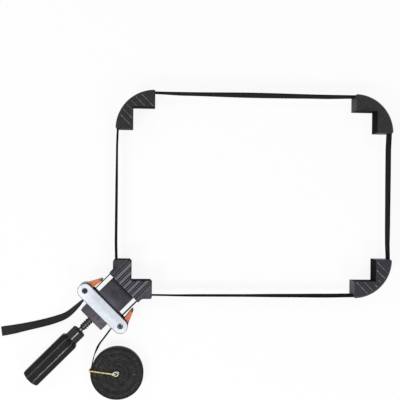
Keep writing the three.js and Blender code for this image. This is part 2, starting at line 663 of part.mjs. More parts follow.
function blockScrew() {
  const top = LOWER_PLATE_FLOOR + BLOCK_SCREW_HEAD_HEIGHT;
  const head = smallDisc(BLOCK_SCREW_HEAD_RADIUS, LOWER_PLATE_FLOOR, top);
  const slot = box(-BLOCK_SCREW_HEAD_RADIUS - OVERRUN, BLOCK_SCREW_HEAD_RADIUS + OVERRUN,
    -SCREW_SLOT_WIDTH / 2, SCREW_SLOT_WIDTH / 2, LOWER_PLATE_FLOOR - OVERRUN,
    LOWER_PLATE_FLOOR + SCREW_SLOT_DEPTH);
  const shank = smallDisc(BLOCK_SCREW_RADIUS, top - SCREW_SLOT_DEPTH, top + BLOCK_SCREW_LENGTH);
  return cut(joined(head, shank), slot);
}

// Nut block: a bar behind the plates, a seat between them, and the tongue that guides the sleeve
function nutBlock() {
  const half = SLEEVE_WIDTH / 2;
  const section = roundedRectangle(half, (BLOCK_SHOULDER - BLOCK_REAR) / 2, BLOCK_EDGE_RADIUS, EDGE_STEPS);
  const bar = prism(section, LOWER_PLATE_FLOOR, UPPER_PLATE_TOP)
    .translate(0, (BLOCK_SHOULDER + BLOCK_REAR) / 2, 0);
  const seat = box(-half, half, BLOCK_SHOULDER - OVERRUN, BLOCK_FRONT, INNER_FLOOR, INNER_TOP);
  const tongue = box(-CAVITY_HALF_WIDTH + CLEARANCE, CAVITY_HALF_WIDTH - CLEARANCE,
    BLOCK_FRONT - OVERRUN, TONGUE_FRONT, AXIS_HEIGHT - CAVITY_HALF_HEIGHT + CLEARANCE,
    AXIS_HEIGHT + CAVITY_HALF_HEIGHT - CLEARANCE);
  const bore = towardsJaw(disc(THREAD_BORE, 0, TONGUE_FRONT - BLOCK_REAR + 2 * OVERRUN),
    BLOCK_REAR - OVERRUN);
  const nutHalf = NUT_WIDTH / 2 + CLEARANCE;
  const nutReach = NUT_THICKNESS / 2 + CLEARANCE;
  const pocket = box(-nutHalf, nutHalf, NUT_CENTRE - nutReach, NUT_CENTRE + nutReach,
    INNER_FLOOR - OVERRUN, AXIS_HEIGHT + nutHalf);
  const screwTop = LOWER_PLATE_FLOOR + BLOCK_SCREW_HEAD_HEIGHT + BLOCK_SCREW_LENGTH + CLEARANCE;
  const screwHoles = SIDES.map(([, side]) => smallDisc(BLOCK_SCREW_RADIUS + CLEARANCE,
    INNER_FLOOR - OVERRUN, screwTop, side * BLOCK_SCREW_LINE, NUT_CENTRE));
  return cut(joined(bar, seat, tongue), bore, pocket, ...screwHoles);
}

function spindleNut() {
  const half = NUT_WIDTH / 2;
  const reach = NUT_THICKNESS / 2;
  const body = box(-half, half, NUT_CENTRE - reach, NUT_CENTRE + reach, AXIS_HEIGHT - half,
    AXIS_HEIGHT + half);
  return cut(body, towardsJaw(disc(THREAD_BORE, 0, NUT_THICKNESS + 2 * OVERRUN),
    NUT_CENTRE - reach - OVERRUN));
}

add(tensionerFrame, 'upper_plate', upperPlate(), PLATE_ALUMINIUM);
add(tensionerFrame, 'lower_plate', lowerPlate(), PLATE_ALUMINIUM);
add(tensionerFrame, 'nut_block', nutBlock(), BLOCK_PLASTIC);
add(tensionerFrame, 'spindle_nut', spindleNut(), BRIGHT_STEEL);
for (const [word, side] of SIDES) {
  add(tensionerFrame, `band_anvil_${word}`, anvil(side), BLACK_STEEL);
  add(tensionerFrame, `cam_lever_${word}`, camLever(side), LEVER_PLASTIC).position.x = side * PIN_LINE;
  add(tensionerFrame, `cam_pin_${word}`, camPin(), BLACK_STEEL).position.x = side * PIN_LINE;
  add(tensionerFrame, `cam_bush_${word}`, camBush(), BRIGHT_STEEL).position.x = side * PIN_LINE;
  const screw = add(tensionerFrame, `block_screw_${word}`, blockScrew(), BLACK_STEEL);
  screw.position.set(side * BLOCK_SCREW_LINE, NUT_CENTRE, 0);
}

// Screw spindle, drawn upright from the end inside the handle
function threadRidge(start) {
  const turns = THREAD_LENGTH / THREAD_PITCH - 1;
  const steps = Math.round(turns * SMALL_SIDES);
  const core = THREAD_RADIUS - THREAD_DEPTH;
  return sweep(Array.from({ length: steps + 1 }, (_, i) => {
    const angle = (2 * Math.PI * i) / SMALL_SIDES;
    const height = start + (THREAD_PITCH * (i / SMALL_SIDES + 1 / 2));
    const crest = i % steps === 0 ? core + CLEARANCE : THREAD_RADIUS;
    const corners = [
      [core - OVERRUN, -THREAD_ROOT_WIDTH / 2], [crest, -THREAD_CREST_WIDTH / 2],
      [crest, THREAD_CREST_WIDTH / 2], [core - OVERRUN, THREAD_ROOT_WIDTH / 2],
    ];
    return corners.map(([r, z]) =>
      new THREE.Vector3(r * Math.cos(angle), r * Math.sin(angle), height + z));
  }));
}

function spindle() {
  const start = HANDLE_FRONT - HANDLE_BORE_DEPTH + 2 * CLEARANCE;
  const at = (y) => y - start;
  const groove = CLIP_REAR - CLEARANCE;
  const tipEnd = SPINDLE_SHOULDER + TIP_LENGTH;
  const profile = [
    [NECK_RADIUS, 0], [NECK_RADIUS, at(THREAD_REAR)], [THREAD_RADIUS - THREAD_DEPTH, at(THREAD_REAR)],
    [THREAD_RADIUS - THREAD_DEPTH, at(THREAD_REAR) + THREAD_LENGTH],
    [SHANK_RADIUS, at(THREAD_REAR) + THREAD_LENGTH + THREAD_DEPTH], [SHANK_RADIUS, at(SPINDLE_SHOULDER)],
    [TIP_RADIUS, at(SPINDLE_SHOULDER)], [TIP_RADIUS, at(groove)],
    [TIP_RADIUS - CLIP_GROOVE_DEPTH, at(groove)],
    [TIP_RADIUS - CLIP_GROOVE_DEPTH, at(groove) + CLIP_THICKNESS + 2 * CLEARANCE],
    [TIP_RADIUS, at(groove) + CLIP_THICKNESS + 2 * CLEARANCE], [TIP_RADIUS, at(tipEnd)],
  ];
  const turned = stack(...profile.map(([radius, z]) => [circle(radius, SMALL_SIDES), z]));
  return towardsJaw(joined(turned, threadRidge(at(THREAD_REAR))), start);
}
add(tensionerFrame, 'spindle', spindle(), BLACK_STEEL);

// A spring clip in the spindle's groove keeps the tip in the thrust plate
function retainingClip() {
  const inner = TIP_RADIUS - CLIP_GROOVE_DEPTH + CLEARANCE;
  const ring = cut(disc(CLIP_RADIUS, 0, CLIP_THICKNESS), disc(inner, -OVERRUN, CLIP_THICKNESS + OVERRUN),
    box(-CLIP_MOUTH / 2, CLIP_MOUTH / 2, 0, CLIP_RADIUS + OVERRUN, -OVERRUN, CLIP_THICKNESS + OVERRUN));
  return towardsJaw(ring, CLIP_REAR);
}
add(tensionerFrame, 'retaining_clip', retainingClip(), BRIGHT_STEEL);

// Handle: a round collar and an eight-sided grip, each section with three points to a corner
function gripSection(halfWidth) {
  const half = Math.PI / GRIP_FLATS;
  const reach = (halfWidth - GRIP_EDGE_RADIUS) / Math.cos(half);
  return Array.from({ length: GRIP_FLATS }, (_, i) => (2 * i + 1) * half).flatMap((angle) =>
    arc(reach * Math.cos(angle), reach * Math.sin(angle), GRIP_EDGE_RADIUS,
      angle - half, angle + half, EDGE_STEPS));
}

function collarSection(radius) {
  const half = Math.PI / COLLAR_SIDES;
  return arc(0, 0, radius, half, 2 * Math.PI + half, COLLAR_SIDES).slice(0, COLLAR_SIDES);
}

function handle() {
  const half = GRIP_WIDTH / 2;
  const body = stack(
    [collarSection(COLLAR_RADIUS - COLLAR_CHAMFER), 0], [collarSection(COLLAR_RADIUS), COLLAR_CHAMFER],
    [collarSection(COLLAR_RADIUS), COLLAR_LENGTH], [gripSection(half), COLLAR_LENGTH + SHOULDER_LENGTH],
    [gripSection(half), HANDLE_LENGTH - GRIP_END_CHAMFER],
    [gripSection(half - GRIP_END_CHAMFER), HANDLE_LENGTH]);
  const bore = disc(NECK_RADIUS + CLEARANCE, -OVERRUN, HANDLE_BORE_DEPTH);
  return towardsHandle(cut(body, bore), HANDLE_FRONT);
}
add(tensionerFrame, 'handle', handle(), HANDLE_PLASTIC);

// Spare band. A point across and along the tensioner, on the clamped frame's axes
const fromTensioner = (across, along) =>
  toSides(new THREE.Vector2(across, along - TENSIONER_BACK));
const at3 = ([x, y], z) => new THREE.Vector3(x, y, z);

// The route leaves the cam straight, or bent outwards by a slope, then follows its own points
function route(side, places, heights, slope = 0) {
  const stops = [GRIP_FRONT, -EXIT_BEND, -PLATE_END_RADIUS, -PLATE_END_RADIUS - EXIT_STRAIGHT];
  const exits = stops.map((along) => {
    const out = slope * Math.max(0, -EXIT_BEND - along);
    const p = fromTensioner(side * (LINK_LINE + out), along);
    return new THREE.Vector3(p.x, p.y, AXIS_HEIGHT);
  });
  return [...exits, ...places.map((place, i) => at3(place, heights[i]))];
}

function bandTail() {
  const points = route(-1, TAIL_ROUTE, TAIL_HEIGHTS);
  const rolls = [0, 0, 0, 0, ...TAIL_ROLL_DEGREES].map((roll) => new THREE.Vector3(roll, 0, 0));
  const line = new THREE.CatmullRomCurve3(points, false, 'centripetal');
  const turns = new THREE.CatmullRomCurve3(rolls, false, 'centripetal');
  const shares = Array.from({ length: TAIL_STEPS + 1 }, (_, i) => i / TAIL_STEPS);
  return ribbon(shares.map((t) => line.getPoint(t)), BAND_WIDTH, BAND_THICKNESS,
    shares.map((t) => THREE.MathUtils.degToRad(turns.getPoint(t).x)));
}
add(sideFrame, 'band_tail', bandTail(), WEBBING);

// Coil: one unbroken spiral that stands on its edge, wound inwards from the lead
const coilStart = THREE.MathUtils.degToRad(COIL_START_DEGREES);
const coilHeight = BAND_WIDTH / 2;

function coilLine() {
  const [x, y] = COIL_CENTRE;
  const spiral = Array.from({ length: COIL_LOOPS * COIL_STEPS + 1 }, (_, i) => {
    const angle = coilStart + (2 * Math.PI * i) / COIL_STEPS;
    const radius = COIL_RADIUS - (COIL_PITCH * i) / COIL_STEPS;
    return new THREE.Vector2(x + radius * Math.cos(angle), y + radius * Math.sin(angle));
  });
  const heading = spiral[0].clone().sub(spiral[1]).normalize();
  const outerEnd = spiral[0].clone().addScaledVector(heading, COIL_STRAIGHT);
  return [outerEnd, ...spiral];
}

// The least gap between the band's inner face on one loop and its outer face on the next
function leastCoilGap(line) {
  const side = (i, offset) => {
    const along = line[Math.min(i + 1, line.length - 1)].clone().sub(line[Math.max(i - 1, 0)]).normalize();
    return line[i].clone().add(new THREE.Vector2(-along.y, along.x).multiplyScalar(offset));
  };
  const inner = line.map((_, i) => side(i, BAND_HALF));
  const outer = line.map((_, i) => side(i, -BAND_HALF));
  let least = Infinity;
  inner.forEach((point, i) => {
    for (let k = i + COIL_STEPS / 2; k + 1 < outer.length; k += 1) {
      const step = outer[k + 1].clone().sub(outer[k]);
      const share = THREE.MathUtils.clamp(point.clone().sub(outer[k]).dot(step) / step.lengthSq(), 0, 1);
      least = Math.min(least, point.distanceTo(outer[k].clone().addScaledVector(step, share)));
    }
  });
  return least;
}

const coil = coilLine();
console.log(`least gap between the coil's loops: ${leastCoilGap(coil).toFixed(3)} mm`);
add(sideFrame, 'band_coil', ribbon(raised(coil, coilHeight), BAND_WIDTH, BAND_THICKNESS), WEBBING);

// The lead runs from the right cam to the coil's outer end
function bandLead() {
  const heading = coil[0].clone().sub(coil[1]).normalize();
  const end = coil[0].clone().addScaledVector(heading, LINK_PLAY);
  const beforeEnd = end.clone().addScaledVector(heading, EXIT_STRAIGHT);
  const points = [...route(1, LEAD_ROUTE, LEAD_HEIGHTS, LEAD_EXIT_SLOPE),
    new THREE.Vector3(beforeEnd.x, beforeEnd.y, coilHeight), new THREE.Vector3(end.x, end.y, coilHeight)];
  const line = new THREE.CatmullRomCurve3(points, false, 'centripetal');
  return ribbon(line.getPoints(LEAD_STEPS), BAND_WIDTH, BAND_THICKNESS);
}
add(sideFrame, 'band_lead', bandLead(), WEBBING);

// Tie: a wire from the coil's eye, over its top edge and down its outside, with a twisted knot
function coilTie() {
  const top = BAND_WIDTH + CLEARANCE + TIE_RADIUS;
  const outside = COIL_RADIUS + BAND_HALF + CLEARANCE + TIE_RADIUS;
  const foot = TIE_RADIUS + CLEARANCE;
  const bend = TIE_BEND_RADIUS;
  const path = [
    [0, foot], [0, top - bend], ...arc(bend, top - bend, bend, Math.PI, Math.PI / 2, BEND_STEPS)
      .slice(1).map((p) => [p.x, p.y]),
    ...Array.from({ length: TIE_STEPS }, (_, i) => [((i + 1) * (outside - bend)) / (TIE_STEPS + 1), top]),
    ...arc(outside - bend, top - bend, bend, Math.PI / 2, 0, BEND_STEPS).map((p) => [p.x, p.y]),
    [outside, foot],
  ];
  const wire = sweep(path.map(([r, z], i) => {
    const before = path[Math.max(i - 1, 0)];
    const after = path[Math.min(i + 1, path.length - 1)];
    const along = new THREE.Vector2(after[0] - before[0], after[1] - before[1]).normalize();
    return circle(TIE_RADIUS, WIRE_SIDES).map((p) =>
      new THREE.Vector3(r - p.x * along.y, p.y, z + p.x * along.x));
  }));
  const knot = new THREE.CapsuleGeometry(KNOT_RADIUS, KNOT_LENGTH - 2 * KNOT_RADIUS, EDGE_STEPS,
    WIRE_SIDES)
    .rotateZ(Math.PI / 2).translate(KNOT_OUT, 0, top + KNOT_RADIUS);
  return joined(wire, knot).rotateZ(THREE.MathUtils.degToRad(TIE_DEGREES));
}
const tie = add(sideFrame, 'coil_tie', coilTie(), TIE_WIRE);
tie.position.set(...COIL_CENTRE, 0);

export default root;
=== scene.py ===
"""Looks of a picture-frame band clamp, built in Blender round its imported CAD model."""

import json
import math

import bmesh
import bpy
import numpy as np
from mathutils import Matrix, Vector

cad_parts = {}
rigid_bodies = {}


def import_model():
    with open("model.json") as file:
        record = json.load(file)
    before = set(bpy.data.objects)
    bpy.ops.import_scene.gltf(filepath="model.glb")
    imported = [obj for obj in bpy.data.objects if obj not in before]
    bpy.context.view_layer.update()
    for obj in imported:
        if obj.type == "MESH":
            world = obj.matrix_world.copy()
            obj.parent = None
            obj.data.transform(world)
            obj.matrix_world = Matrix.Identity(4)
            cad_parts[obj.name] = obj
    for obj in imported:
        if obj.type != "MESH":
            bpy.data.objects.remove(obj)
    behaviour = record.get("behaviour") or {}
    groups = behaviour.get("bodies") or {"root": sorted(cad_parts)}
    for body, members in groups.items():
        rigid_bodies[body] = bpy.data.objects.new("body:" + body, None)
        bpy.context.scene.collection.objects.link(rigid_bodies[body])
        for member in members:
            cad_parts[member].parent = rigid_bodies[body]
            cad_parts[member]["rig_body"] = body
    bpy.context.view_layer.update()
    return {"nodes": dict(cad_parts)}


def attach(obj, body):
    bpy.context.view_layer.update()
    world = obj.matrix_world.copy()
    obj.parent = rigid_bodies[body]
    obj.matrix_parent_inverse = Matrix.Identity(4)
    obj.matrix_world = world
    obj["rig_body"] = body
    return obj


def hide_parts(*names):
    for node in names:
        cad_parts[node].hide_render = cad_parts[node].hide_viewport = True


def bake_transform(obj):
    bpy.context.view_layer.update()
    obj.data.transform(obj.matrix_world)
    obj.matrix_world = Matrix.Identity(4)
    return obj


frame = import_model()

MM = 0.001
TURN = math.sqrt(0.5)

# Sizes repeated from the CAD model, in millimetres
NOTCH_INSET = 4
AXIS_HEIGHT = 15
FRAME_LENGTH = 393
FRAME_WIDTH = 275
BAND_WIDTH = 15
BAND_THICKNESS = 1.2
BAND_OFFSET = 24
BAND_BEND_RADIUS = 4
LINK_LINE = 30.3
JAW_ARM = 35
JAW_HEIGHT = 30
JAW_REAR = 16
WING_LENGTH = 33
RIDGE_SPACING = 9.3
RIDGE_HEIGHT = 0.6
RIB_WIDTH = 1.5
RIB_GROOVE = 1.3
TENSIONER_BACK = 62.3
PLATE_HALF_WIDTH = 11.75
PIN_LINE = 39.5
GRIP_FRONT = 8.5
EXIT_STRAIGHT = 4
EXIT_BEND = 2
LEAD_EXIT_SLOPE = 0.19

# Screw and handle, along the screw's axis from the tensioner's centre
THREAD_RADIUS = 6
THREAD_CORE = 4.7
THREAD_PITCH = 4
THREAD_ROOT_WIDTH = 2.9
THREAD_CREST_WIDTH = 1.1
THREAD_FRONT = 6.95
NECK_RADIUS = 4
NECK_LENGTH = 6
SHANK_RADIUS = 4.7
TIP_RADIUS = 3
SPINDLE_SHOULDER = 50.7
SPINDLE_TIP = 57.7
HANDLE_FRONT = -52
HANDLE_LENGTH = 108
COLLAR_RADIUS = 11.2
COLLAR_LENGTH = 17
SHOULDER_LENGTH = 6.5
GRIP_HALF_WIDTH = 14.9
GRIP_EDGE_RADIUS = 3
GRIP_END_CHAMFER = 2.5

# Routes of the spare band, from the notch's corner, as the CAD model has them
TAIL_ROUTE = [
    (-85.4, -42.9, 12.9), (-101.9, -57, 8.9), (-118.1, -64, 6.6), (-134.8, -69, 5.9),
    (-150.6, -72.8, 5.8), (-167.1, -76.5, 5.5), (-185.6, -80.6, 4), (-205, -84.2, 1.4),
]
LEAD_ROUTE = [(-41.5, -92, 12.6), (-50.3, -104.4, 9.2)]

# How far the spare band rolls over from its edge, at the exits' four points and along the routes
EXIT_ROLL_DEGREES = [0, 0, 0, 11]
TAIL_ROLL_DEGREES = [26, 37, 43, 45, 46, 49, 64, 85]
ROLL_SMOOTHING = 9
LEAD_LEAN_DEGREES = -10
LEAD_LEAN_START = 0.16
LEAD_LEAN_EASE = 0.2
CORD_STEP = 2

# Coil of spare band. Each wave is a count round the coil, a height and a start in radians
COIL_CENTRE = (-20.9, -149.4)
COIL_RADIUS = 41.9
COIL_EYE_RADIUS = 3.2
COIL_LOOPS = 30
COIL_STEPS = 72
COIL_START_DEGREES = 166
COIL_STRAIGHT = 15
COIL_STRAIGHT_STEPS = 8
COIL_WAVES = ((2, 0.35, 0.4), (3, 0.22, 2.1))
COIL_LIFT = 0.55
COIL_SEED = 4
TIE_DEGREES = 174


def from_notch(x, y, z):
    """A point on the clamped frame's axes, measured from the main jaw's notch, in metres."""
    return Vector((x + NOTCH_INSET, y + NOTCH_INSET, z)) * MM


def on_jaw(across, along, z):
    """A point across and along the screw's axis, measured from the main jaw's notch."""
    return from_notch((across + along) * TURN, (along - across) * TURN, z)


def on_tensioner(across, along, z):
    """The same, measured from the middle of the tensioner's plates."""
    return on_jaw(across, along - TENSIONER_BACK, z)


# Camera, fitted to the jaws' corners in the photograph
CAMERA_PLACE = (33.13, 128.15, 1135.92)
CAMERA_TURN = Vector((-0.0001, -0.0671, 0.0112))
CAMERA_LENS = 63
CAMERA_SENSOR = 36


def make_camera():
    data = bpy.data.cameras.new("camera")
    data.lens = CAMERA_LENS
    data.sensor_width = CAMERA_SENSOR
    camera = bpy.data.objects.new("camera", data)
    turn = Matrix.Rotation(CAMERA_TURN.length, 4, CAMERA_TURN.normalized())
    camera.matrix_world = Matrix.Translation(from_notch(*CAMERA_PLACE)) @ turn
    bpy.context.scene.collection.objects.link(camera)
    bpy.context.scene.camera = camera


make_camera()


# Colours are written as they show on a screen, from 0 to 255
def shown(red, green, blue):
    def linear(value):
        share = value / 255
        return share / 12.92 if share <= 0.04045 else ((share + 0.055) / 1.055) ** 2.4

    return (linear(red), linear(green), linear(blue), 1.0)


class Graph:
    """A short way to write shader nodes. An argument is a socket or a plain value."""

    def __init__(self, owner, shader, **inputs):
        owner.use_nodes = True
        self.owner = owner
        self.tree = owner.node_tree
        self.shader = self.tree.nodes[shader]
        self.set(**inputs)

    def node(self, kind, inputs=(), output=0, **settings):
        made = self.tree.nodes.new(kind)
        for key, value in settings.items():
            setattr(made, key, value)
        for key, value in dict(inputs).items():
            self.put(value, made.inputs[key])
        return made.outputs[output]

    def put(self, value, socket):
        if isinstance(value, bpy.types.NodeSocket):
            self.tree.links.new(value, socket)
        else:
            socket.default_value = value

    def set(self, **inputs):
        for key, value in inputs.items():
            self.put(value, self.shader.inputs[key.replace("_", " ")])
        return self

    def math(self, operation, *values):
        return self.node("ShaderNodeMath", enumerate(values), operation=operation)

    def less(self, value, other):
        return self.math("SUBTRACT", value, other)

    def size(self, value):
        return self.math("ABSOLUTE", value)

    def greatest(self, first, *others):
        for other in others:
            first = self.math("MAXIMUM", first, other)
        return first

    def product(self, first, *others):
        for other in others:
            first = self.math("MULTIPLY", first, other)
        return first

    def wave(self, position):
        """A sine wave that crosses zero at each whole step of a position."""
        return self.math("SINE", self.product(position, math.pi))

    def reach(self, aside, ahead):
        """The length of a line that goes so far aside and so far ahead."""
        squares = self.math("ADD", self.product(aside, aside), self.product(ahead, ahead))
        return self.math("SQRT", squares)

    def place(self):
        return self.node("ShaderNodeTexCoord", output="Object")

    def parts(self, vector):
        """The x, y and z of a vector."""
        split = self.node("ShaderNodeSeparateXYZ", {0: vector}).node
        return list(split.outputs)

    def across(self, x, y):
        """Lengths across the screw's axis, from x and y."""
        return self.product(self.less(x, y), TURN)

    def along(self, x, y):
        """Lengths along the screw's axis, from x and y."""
        return self.product(self.math("ADD", x, y), TURN)

    def reach_from(self, centre):
        """How far the surface lies from an upright line through a centre."""
        x, y = self.parts(self.place())[:2]
        return self.reach(self.less(x, centre.x), self.less(y, centre.y))

    def facing(self):
        """The x, y and z of the direction that the surface faces."""
        return self.parts(self.node("ShaderNodeNewGeometry", output="Normal"))

    def level(self):
        """One where the surface lies level, zero where it stands upright."""
        return self.size(self.facing()[2])

    def edges(self):
        """One at outer edges, zero on flats."""
        return self.ramp(self.node("ShaderNodeNewGeometry", output="Pointiness"), 0.52, 0.62)

    def looked_at(self):
        """One for a ray from the camera, a reflection or a view through glass, zero for light that falls."""
        path = self.node("ShaderNodeLightPath").node.outputs
        return self.greatest(path["Is Camera Ray"], path["Is Glossy Ray"], path["Is Transmission Ray"])

    def noise(self, size, detail=2.0, stretch=(1, 1, 1), turn=0.0):
        """Noise with features of that size in metres, stretched and turned about +Z."""
        scale = [1 / (size * s) for s in stretch]
        inputs = {0: self.place(), 2: (0, 0, turn)}
        place = self.node("ShaderNodeMapping", inputs, vector_type="TEXTURE")
        place = self.node("ShaderNodeVectorMath", {0: place, 1: scale}, operation="MULTIPLY")
        return self.node("ShaderNodeTexNoise", {"Vector": place, "Scale": 1.0, "Detail": detail})

    def ramp(self, value, low, high, start=0.0, end=1.0):
        """Value from low to high, spread over start to end and kept inside them."""
        return self.node("ShaderNodeMapRange", {0: value, 1: low, 2: high, 3: start, 4: end}, clamp=True)

    def span(self, value, limits, start=0.0, end=1.0):
        """The same between two limits given in millimetres."""
        return self.ramp(value, limits[0] * MM, limits[1] * MM, start, end)

    def patches(self, start, end, *noise):
        """Soft patches of two values, over the part of the noise's range that it mostly keeps to."""
        return self.ramp(self.noise(*noise), 0.3, 0.7, start, end)

    def blend(self, factor, first, second):
        """One value where the factor is zero, the other where it is one."""
        return self.node("ShaderNodeMix", {0: factor, 2: first, 3: second})

    def mix(self, factor, first, second):
        """The same for colours."""
        inputs = {0: factor, 6: first, 7: second}
        return self.node("ShaderNodeMix", inputs, output=2, data_type="RGBA")

    def tone(self, color, factor):
        """A colour made darker or lighter by a factor."""
        inputs = {0: color[:3], "Scale": factor}
        return self.node("ShaderNodeVectorMath", inputs, operation="SCALE")

    def bump(self, height, distance, normal=None):
        inputs = {"Height": height, "Distance": distance}
        if normal:
            inputs["Normal"] = normal
        return self.node("ShaderNodeBump", inputs)


def painted(name, **inputs):
    """The graph of a new material."""
    return Graph(bpy.data.materials.new(name), "Principled BSDF", **inputs)


# Materials. Sizes of noise are in metres, and pairs of limits in millimetres
# Heights on the jaws' ridges whose tops get a painted highlight
RIDGE_HIGHLIGHT_HEIGHTS = (JAW_HEIGHT + 0.3, JAW_HEIGHT + RIDGE_HEIGHT - 0.1)


def plastic(name, color, roughness, specular, edge=0.5, grain=0.02, gloss_marks=0.1, shade=None,
            ridge_highlight=None, matt_sides=None):
    """Moulded plastic: fine grain, cloudy tone, paler edges and faint scuffs. The paler edges are partly
    wear and partly a painted highlight.

    Edge is the share of the pale colour on edges, grain the bumps' height in millimetres, ridge_highlight
    the colour of a painted highlight on the ridges' tops and matt_sides the roughness of upright faces.
    """
    g = painted(name, Specular_IOR_Level=specular)
    tone = g.product(g.patches(0.86, 1.14, 0.018, 3.0), g.patches(0.84, 1.16, 0.0011, 1.0))
    if shade:
        tone = g.product(tone, shade(g))
    base = g.tone(shown(*color), tone)
    # A painted highlight on the ridges' tops, patchy along them
    if ridge_highlight:
        high = g.product(g.span(g.parts(g.place())[2], RIDGE_HIGHLIGHT_HEIGHTS), g.ramp(g.noise(0.009), 0.3, 0.55))
        base = g.mix(high, base, shown(*ridge_highlight))
    # Paler edges: partly wear, partly a painted highlight along the edges
    worn_and_lit_edges = g.product(g.edges(), g.ramp(g.noise(0.006), 0.35, 0.6, 0.35, 1.0), edge)
    pale = shown(*[min(255, c * 1.5 + 40) for c in color])
    marks = g.ramp(g.noise(0.004, 4.0, (7, 0.35, 1), 0.6), 0.55, 0.7, 0.0, gloss_marks)
    rough = g.less(g.patches(roughness - 0.05, roughness + 0.07, 0.012), marks)
    if matt_sides:
        rough = g.blend(g.ramp(g.level(), 0.4, 0.75), matt_sides, rough)
    fine = g.bump(g.noise(0.0005, 1.0), grain * MM)
    return g.set(Base_Color=g.mix(worn_and_lit_edges, base, pale), Roughness=rough, Normal=fine).owner


# The main jaw's painted shade and light, by height, by place along the screw's axis and by place across it
BELOW_LAND = (JAW_HEIGHT - 0.05, JAW_HEIGHT - 0.4)
ABOVE_GROOVE = (JAW_HEIGHT - 2.5, JAW_HEIGHT - 1.8)
BELOW_RIB = (JAW_HEIGHT + 0.2, JAW_HEIGHT + 0.1)
ABOVE_LAND = (JAW_HEIGHT + 0.1, JAW_HEIGHT + 0.3)
ABOVE_SLEEVE = (24.4, 24.6)
ROOT_START = (-JAW_REAR - 2.3, -JAW_REAR - 2.0)
ROOT_END = (-JAW_REAR + 0.2, -JAW_REAR + 0.1)
SLEEVE_END = (-JAW_REAR - 2.2, -JAW_REAR - 1.8)
SLEEVE_FADE = (-50, -34)
SLEEVE_ROOT = (-24, -18.5)
# A painted shadow: a dark line across the sleeve where the upper plate's front edge stands
PLATE_SHADOW_LINE = PLATE_HALF_WIDTH - TENSIONER_BACK + 0.7
PLATE_SHADOW_HALF_WIDTH = (0.7, 1.2)
LAND_EDGE = RIB_WIDTH / 2 + RIB_GROOVE
LIP = (LAND_EDGE + 0.3, LAND_EDGE + 0.65)
LIP_REACH = (27, 26.9)
WING_START = (24.5, 25.5)
RIM_START = NOTCH_INSET + WING_LENGTH - 2.1
RIM = (RIM_START, RIM_START + 0.3)


def jaw_shade(g):
    """Painted shade in the rib grooves and beside them, at the sleeve's root, at the wings' ends, on the
    left wing and in a line on the sleeve where the plates' edge stands; painted light on the lands, the
    ribs, the right wing and the sleeve near the plates.
    """
    x, y, z = g.parts(g.place())
    facing_x, facing_y, up = g.facing()
    along = g.less(g.along(x, y), NOTCH_INSET * math.sqrt(2) * MM)
    across = g.size(g.across(x, y))
    inner_face = g.ramp(g.greatest(up, g.size(g.across(facing_x, facing_y))), 0.6, 0.7)
    in_groove = g.span(z, ABOVE_GROOVE)
    groove = g.product(inner_face, g.span(z, BELOW_LAND), in_groove, 0.985)
    root = g.product(g.span(along, ROOT_START), g.span(along, ROOT_END), g.span(z, ABOVE_SLEEVE), 0.85)
    # Painted shade: dark lines on the lands' edges beside the grooves
    beside = g.less(RIDGE_SPACING / 2 * MM, g.math("PINGPONG", across, RIDGE_SPACING / 2 * MM))
    lip = g.product(g.span(beside, LIP, 0.97, 0.0), g.span(across, LIP_REACH), g.span(z, BELOW_RIB),
                    in_groove)
    recess_shade = g.less(1.0, g.greatest(groove, lip, root))
    # Painted light and shade: the right wing lighter, the left wing darker, and the lands and ribs lighter
    # still
    flank = g.blend(g.math("GREATER_THAN", y, x), 1.25, 0.36)
    wing = g.blend(g.span(across, WING_START), g.span(z, ABOVE_LAND, 4.2, 3.0), flank)
    # Painted shade at the wings' ends
    rim = g.span(g.greatest(x, y), RIM, 1.0, 0.05)
    off_plate_shadow = g.size(g.less(along, PLATE_SHADOW_LINE * MM))
    # The sleeve painted lighter near the plates and darker at its root, as light and shade, with a patchy
    # tone
    sleeve = g.product(g.span(along, SLEEVE_FADE, 2.0, 0.85), g.span(along, SLEEVE_ROOT, 1.0, 0.2),
                       g.ramp(g.noise(0.02, 1.0), 0.35, 0.65, 0.8, 1.3),
                       g.span(off_plate_shadow, PLATE_SHADOW_HALF_WIDTH, 0.03, 1.0))
    return g.product(recess_shade, g.blend(g.span(along, SLEEVE_END), sleeve, g.product(wing, rim)))


LEVER_TIPS = ((-33.3, 31.2), (35.3, 31.5))
LEVER_PINS = ((-PIN_LINE, 0), (PIN_LINE, 0))
DARK_TIP_LENGTH = 5


def lever_plastic():
    """Orange plastic, dark at the lever's tip, with sloped faces painted darker as shade and a painted
    shadow in a ring round the plate's edge.
    """
    g = painted("lever_plastic", Specular_IOR_Level=0.35)

    def nearest(spots):
        return g.math("MINIMUM", *[g.reach_from(on_tensioner(*spot, 0)) for spot in spots])

    cloud = g.ramp(g.noise(0.0035, 3.0), 0.35, 0.65, 0.72, 1.15)
    # Sloped faces painted darker, as shade
    slope = g.ramp(g.level(), 0.45, 0.95, 0.6, 1.0)
    base = g.tone(shown(218, 117, 70), g.product(cloud, slope))
    # A painted shadow: a near-black ring on the lever just outside the plate's rounded end
    off_edge = g.size(g.less(nearest(LEVER_PINS), (PLATE_HALF_WIDTH + 0.6) * MM))
    base = g.mix(g.span(off_edge, (0.4, 1.1), 0.95, 0.0), base, shown(16, 8, 6))
    ragged = g.math("ADD", nearest(LEVER_TIPS), g.patches(-0.8 * MM, 0.8 * MM, 0.0015))
    dark_tip = g.span(ragged, (0.4 * DARK_TIP_LENGTH, DARK_TIP_LENGTH), 1.0, 0.0)
    color = g.mix(dark_tip, base, shown(52, 20, 12))
    fine = g.bump(g.noise(0.0006, 1.0), 0.02 * MM)
    return g.set(Base_Color=color, Roughness=g.patches(0.38, 0.5, 0.004), Normal=fine).owner


# The weave's steps along and across the band, and where its selvedges start
WEFT_STEP = 1.25
WARP_STEP = 1.0
SELVEDGE = (5.7, 7.1)


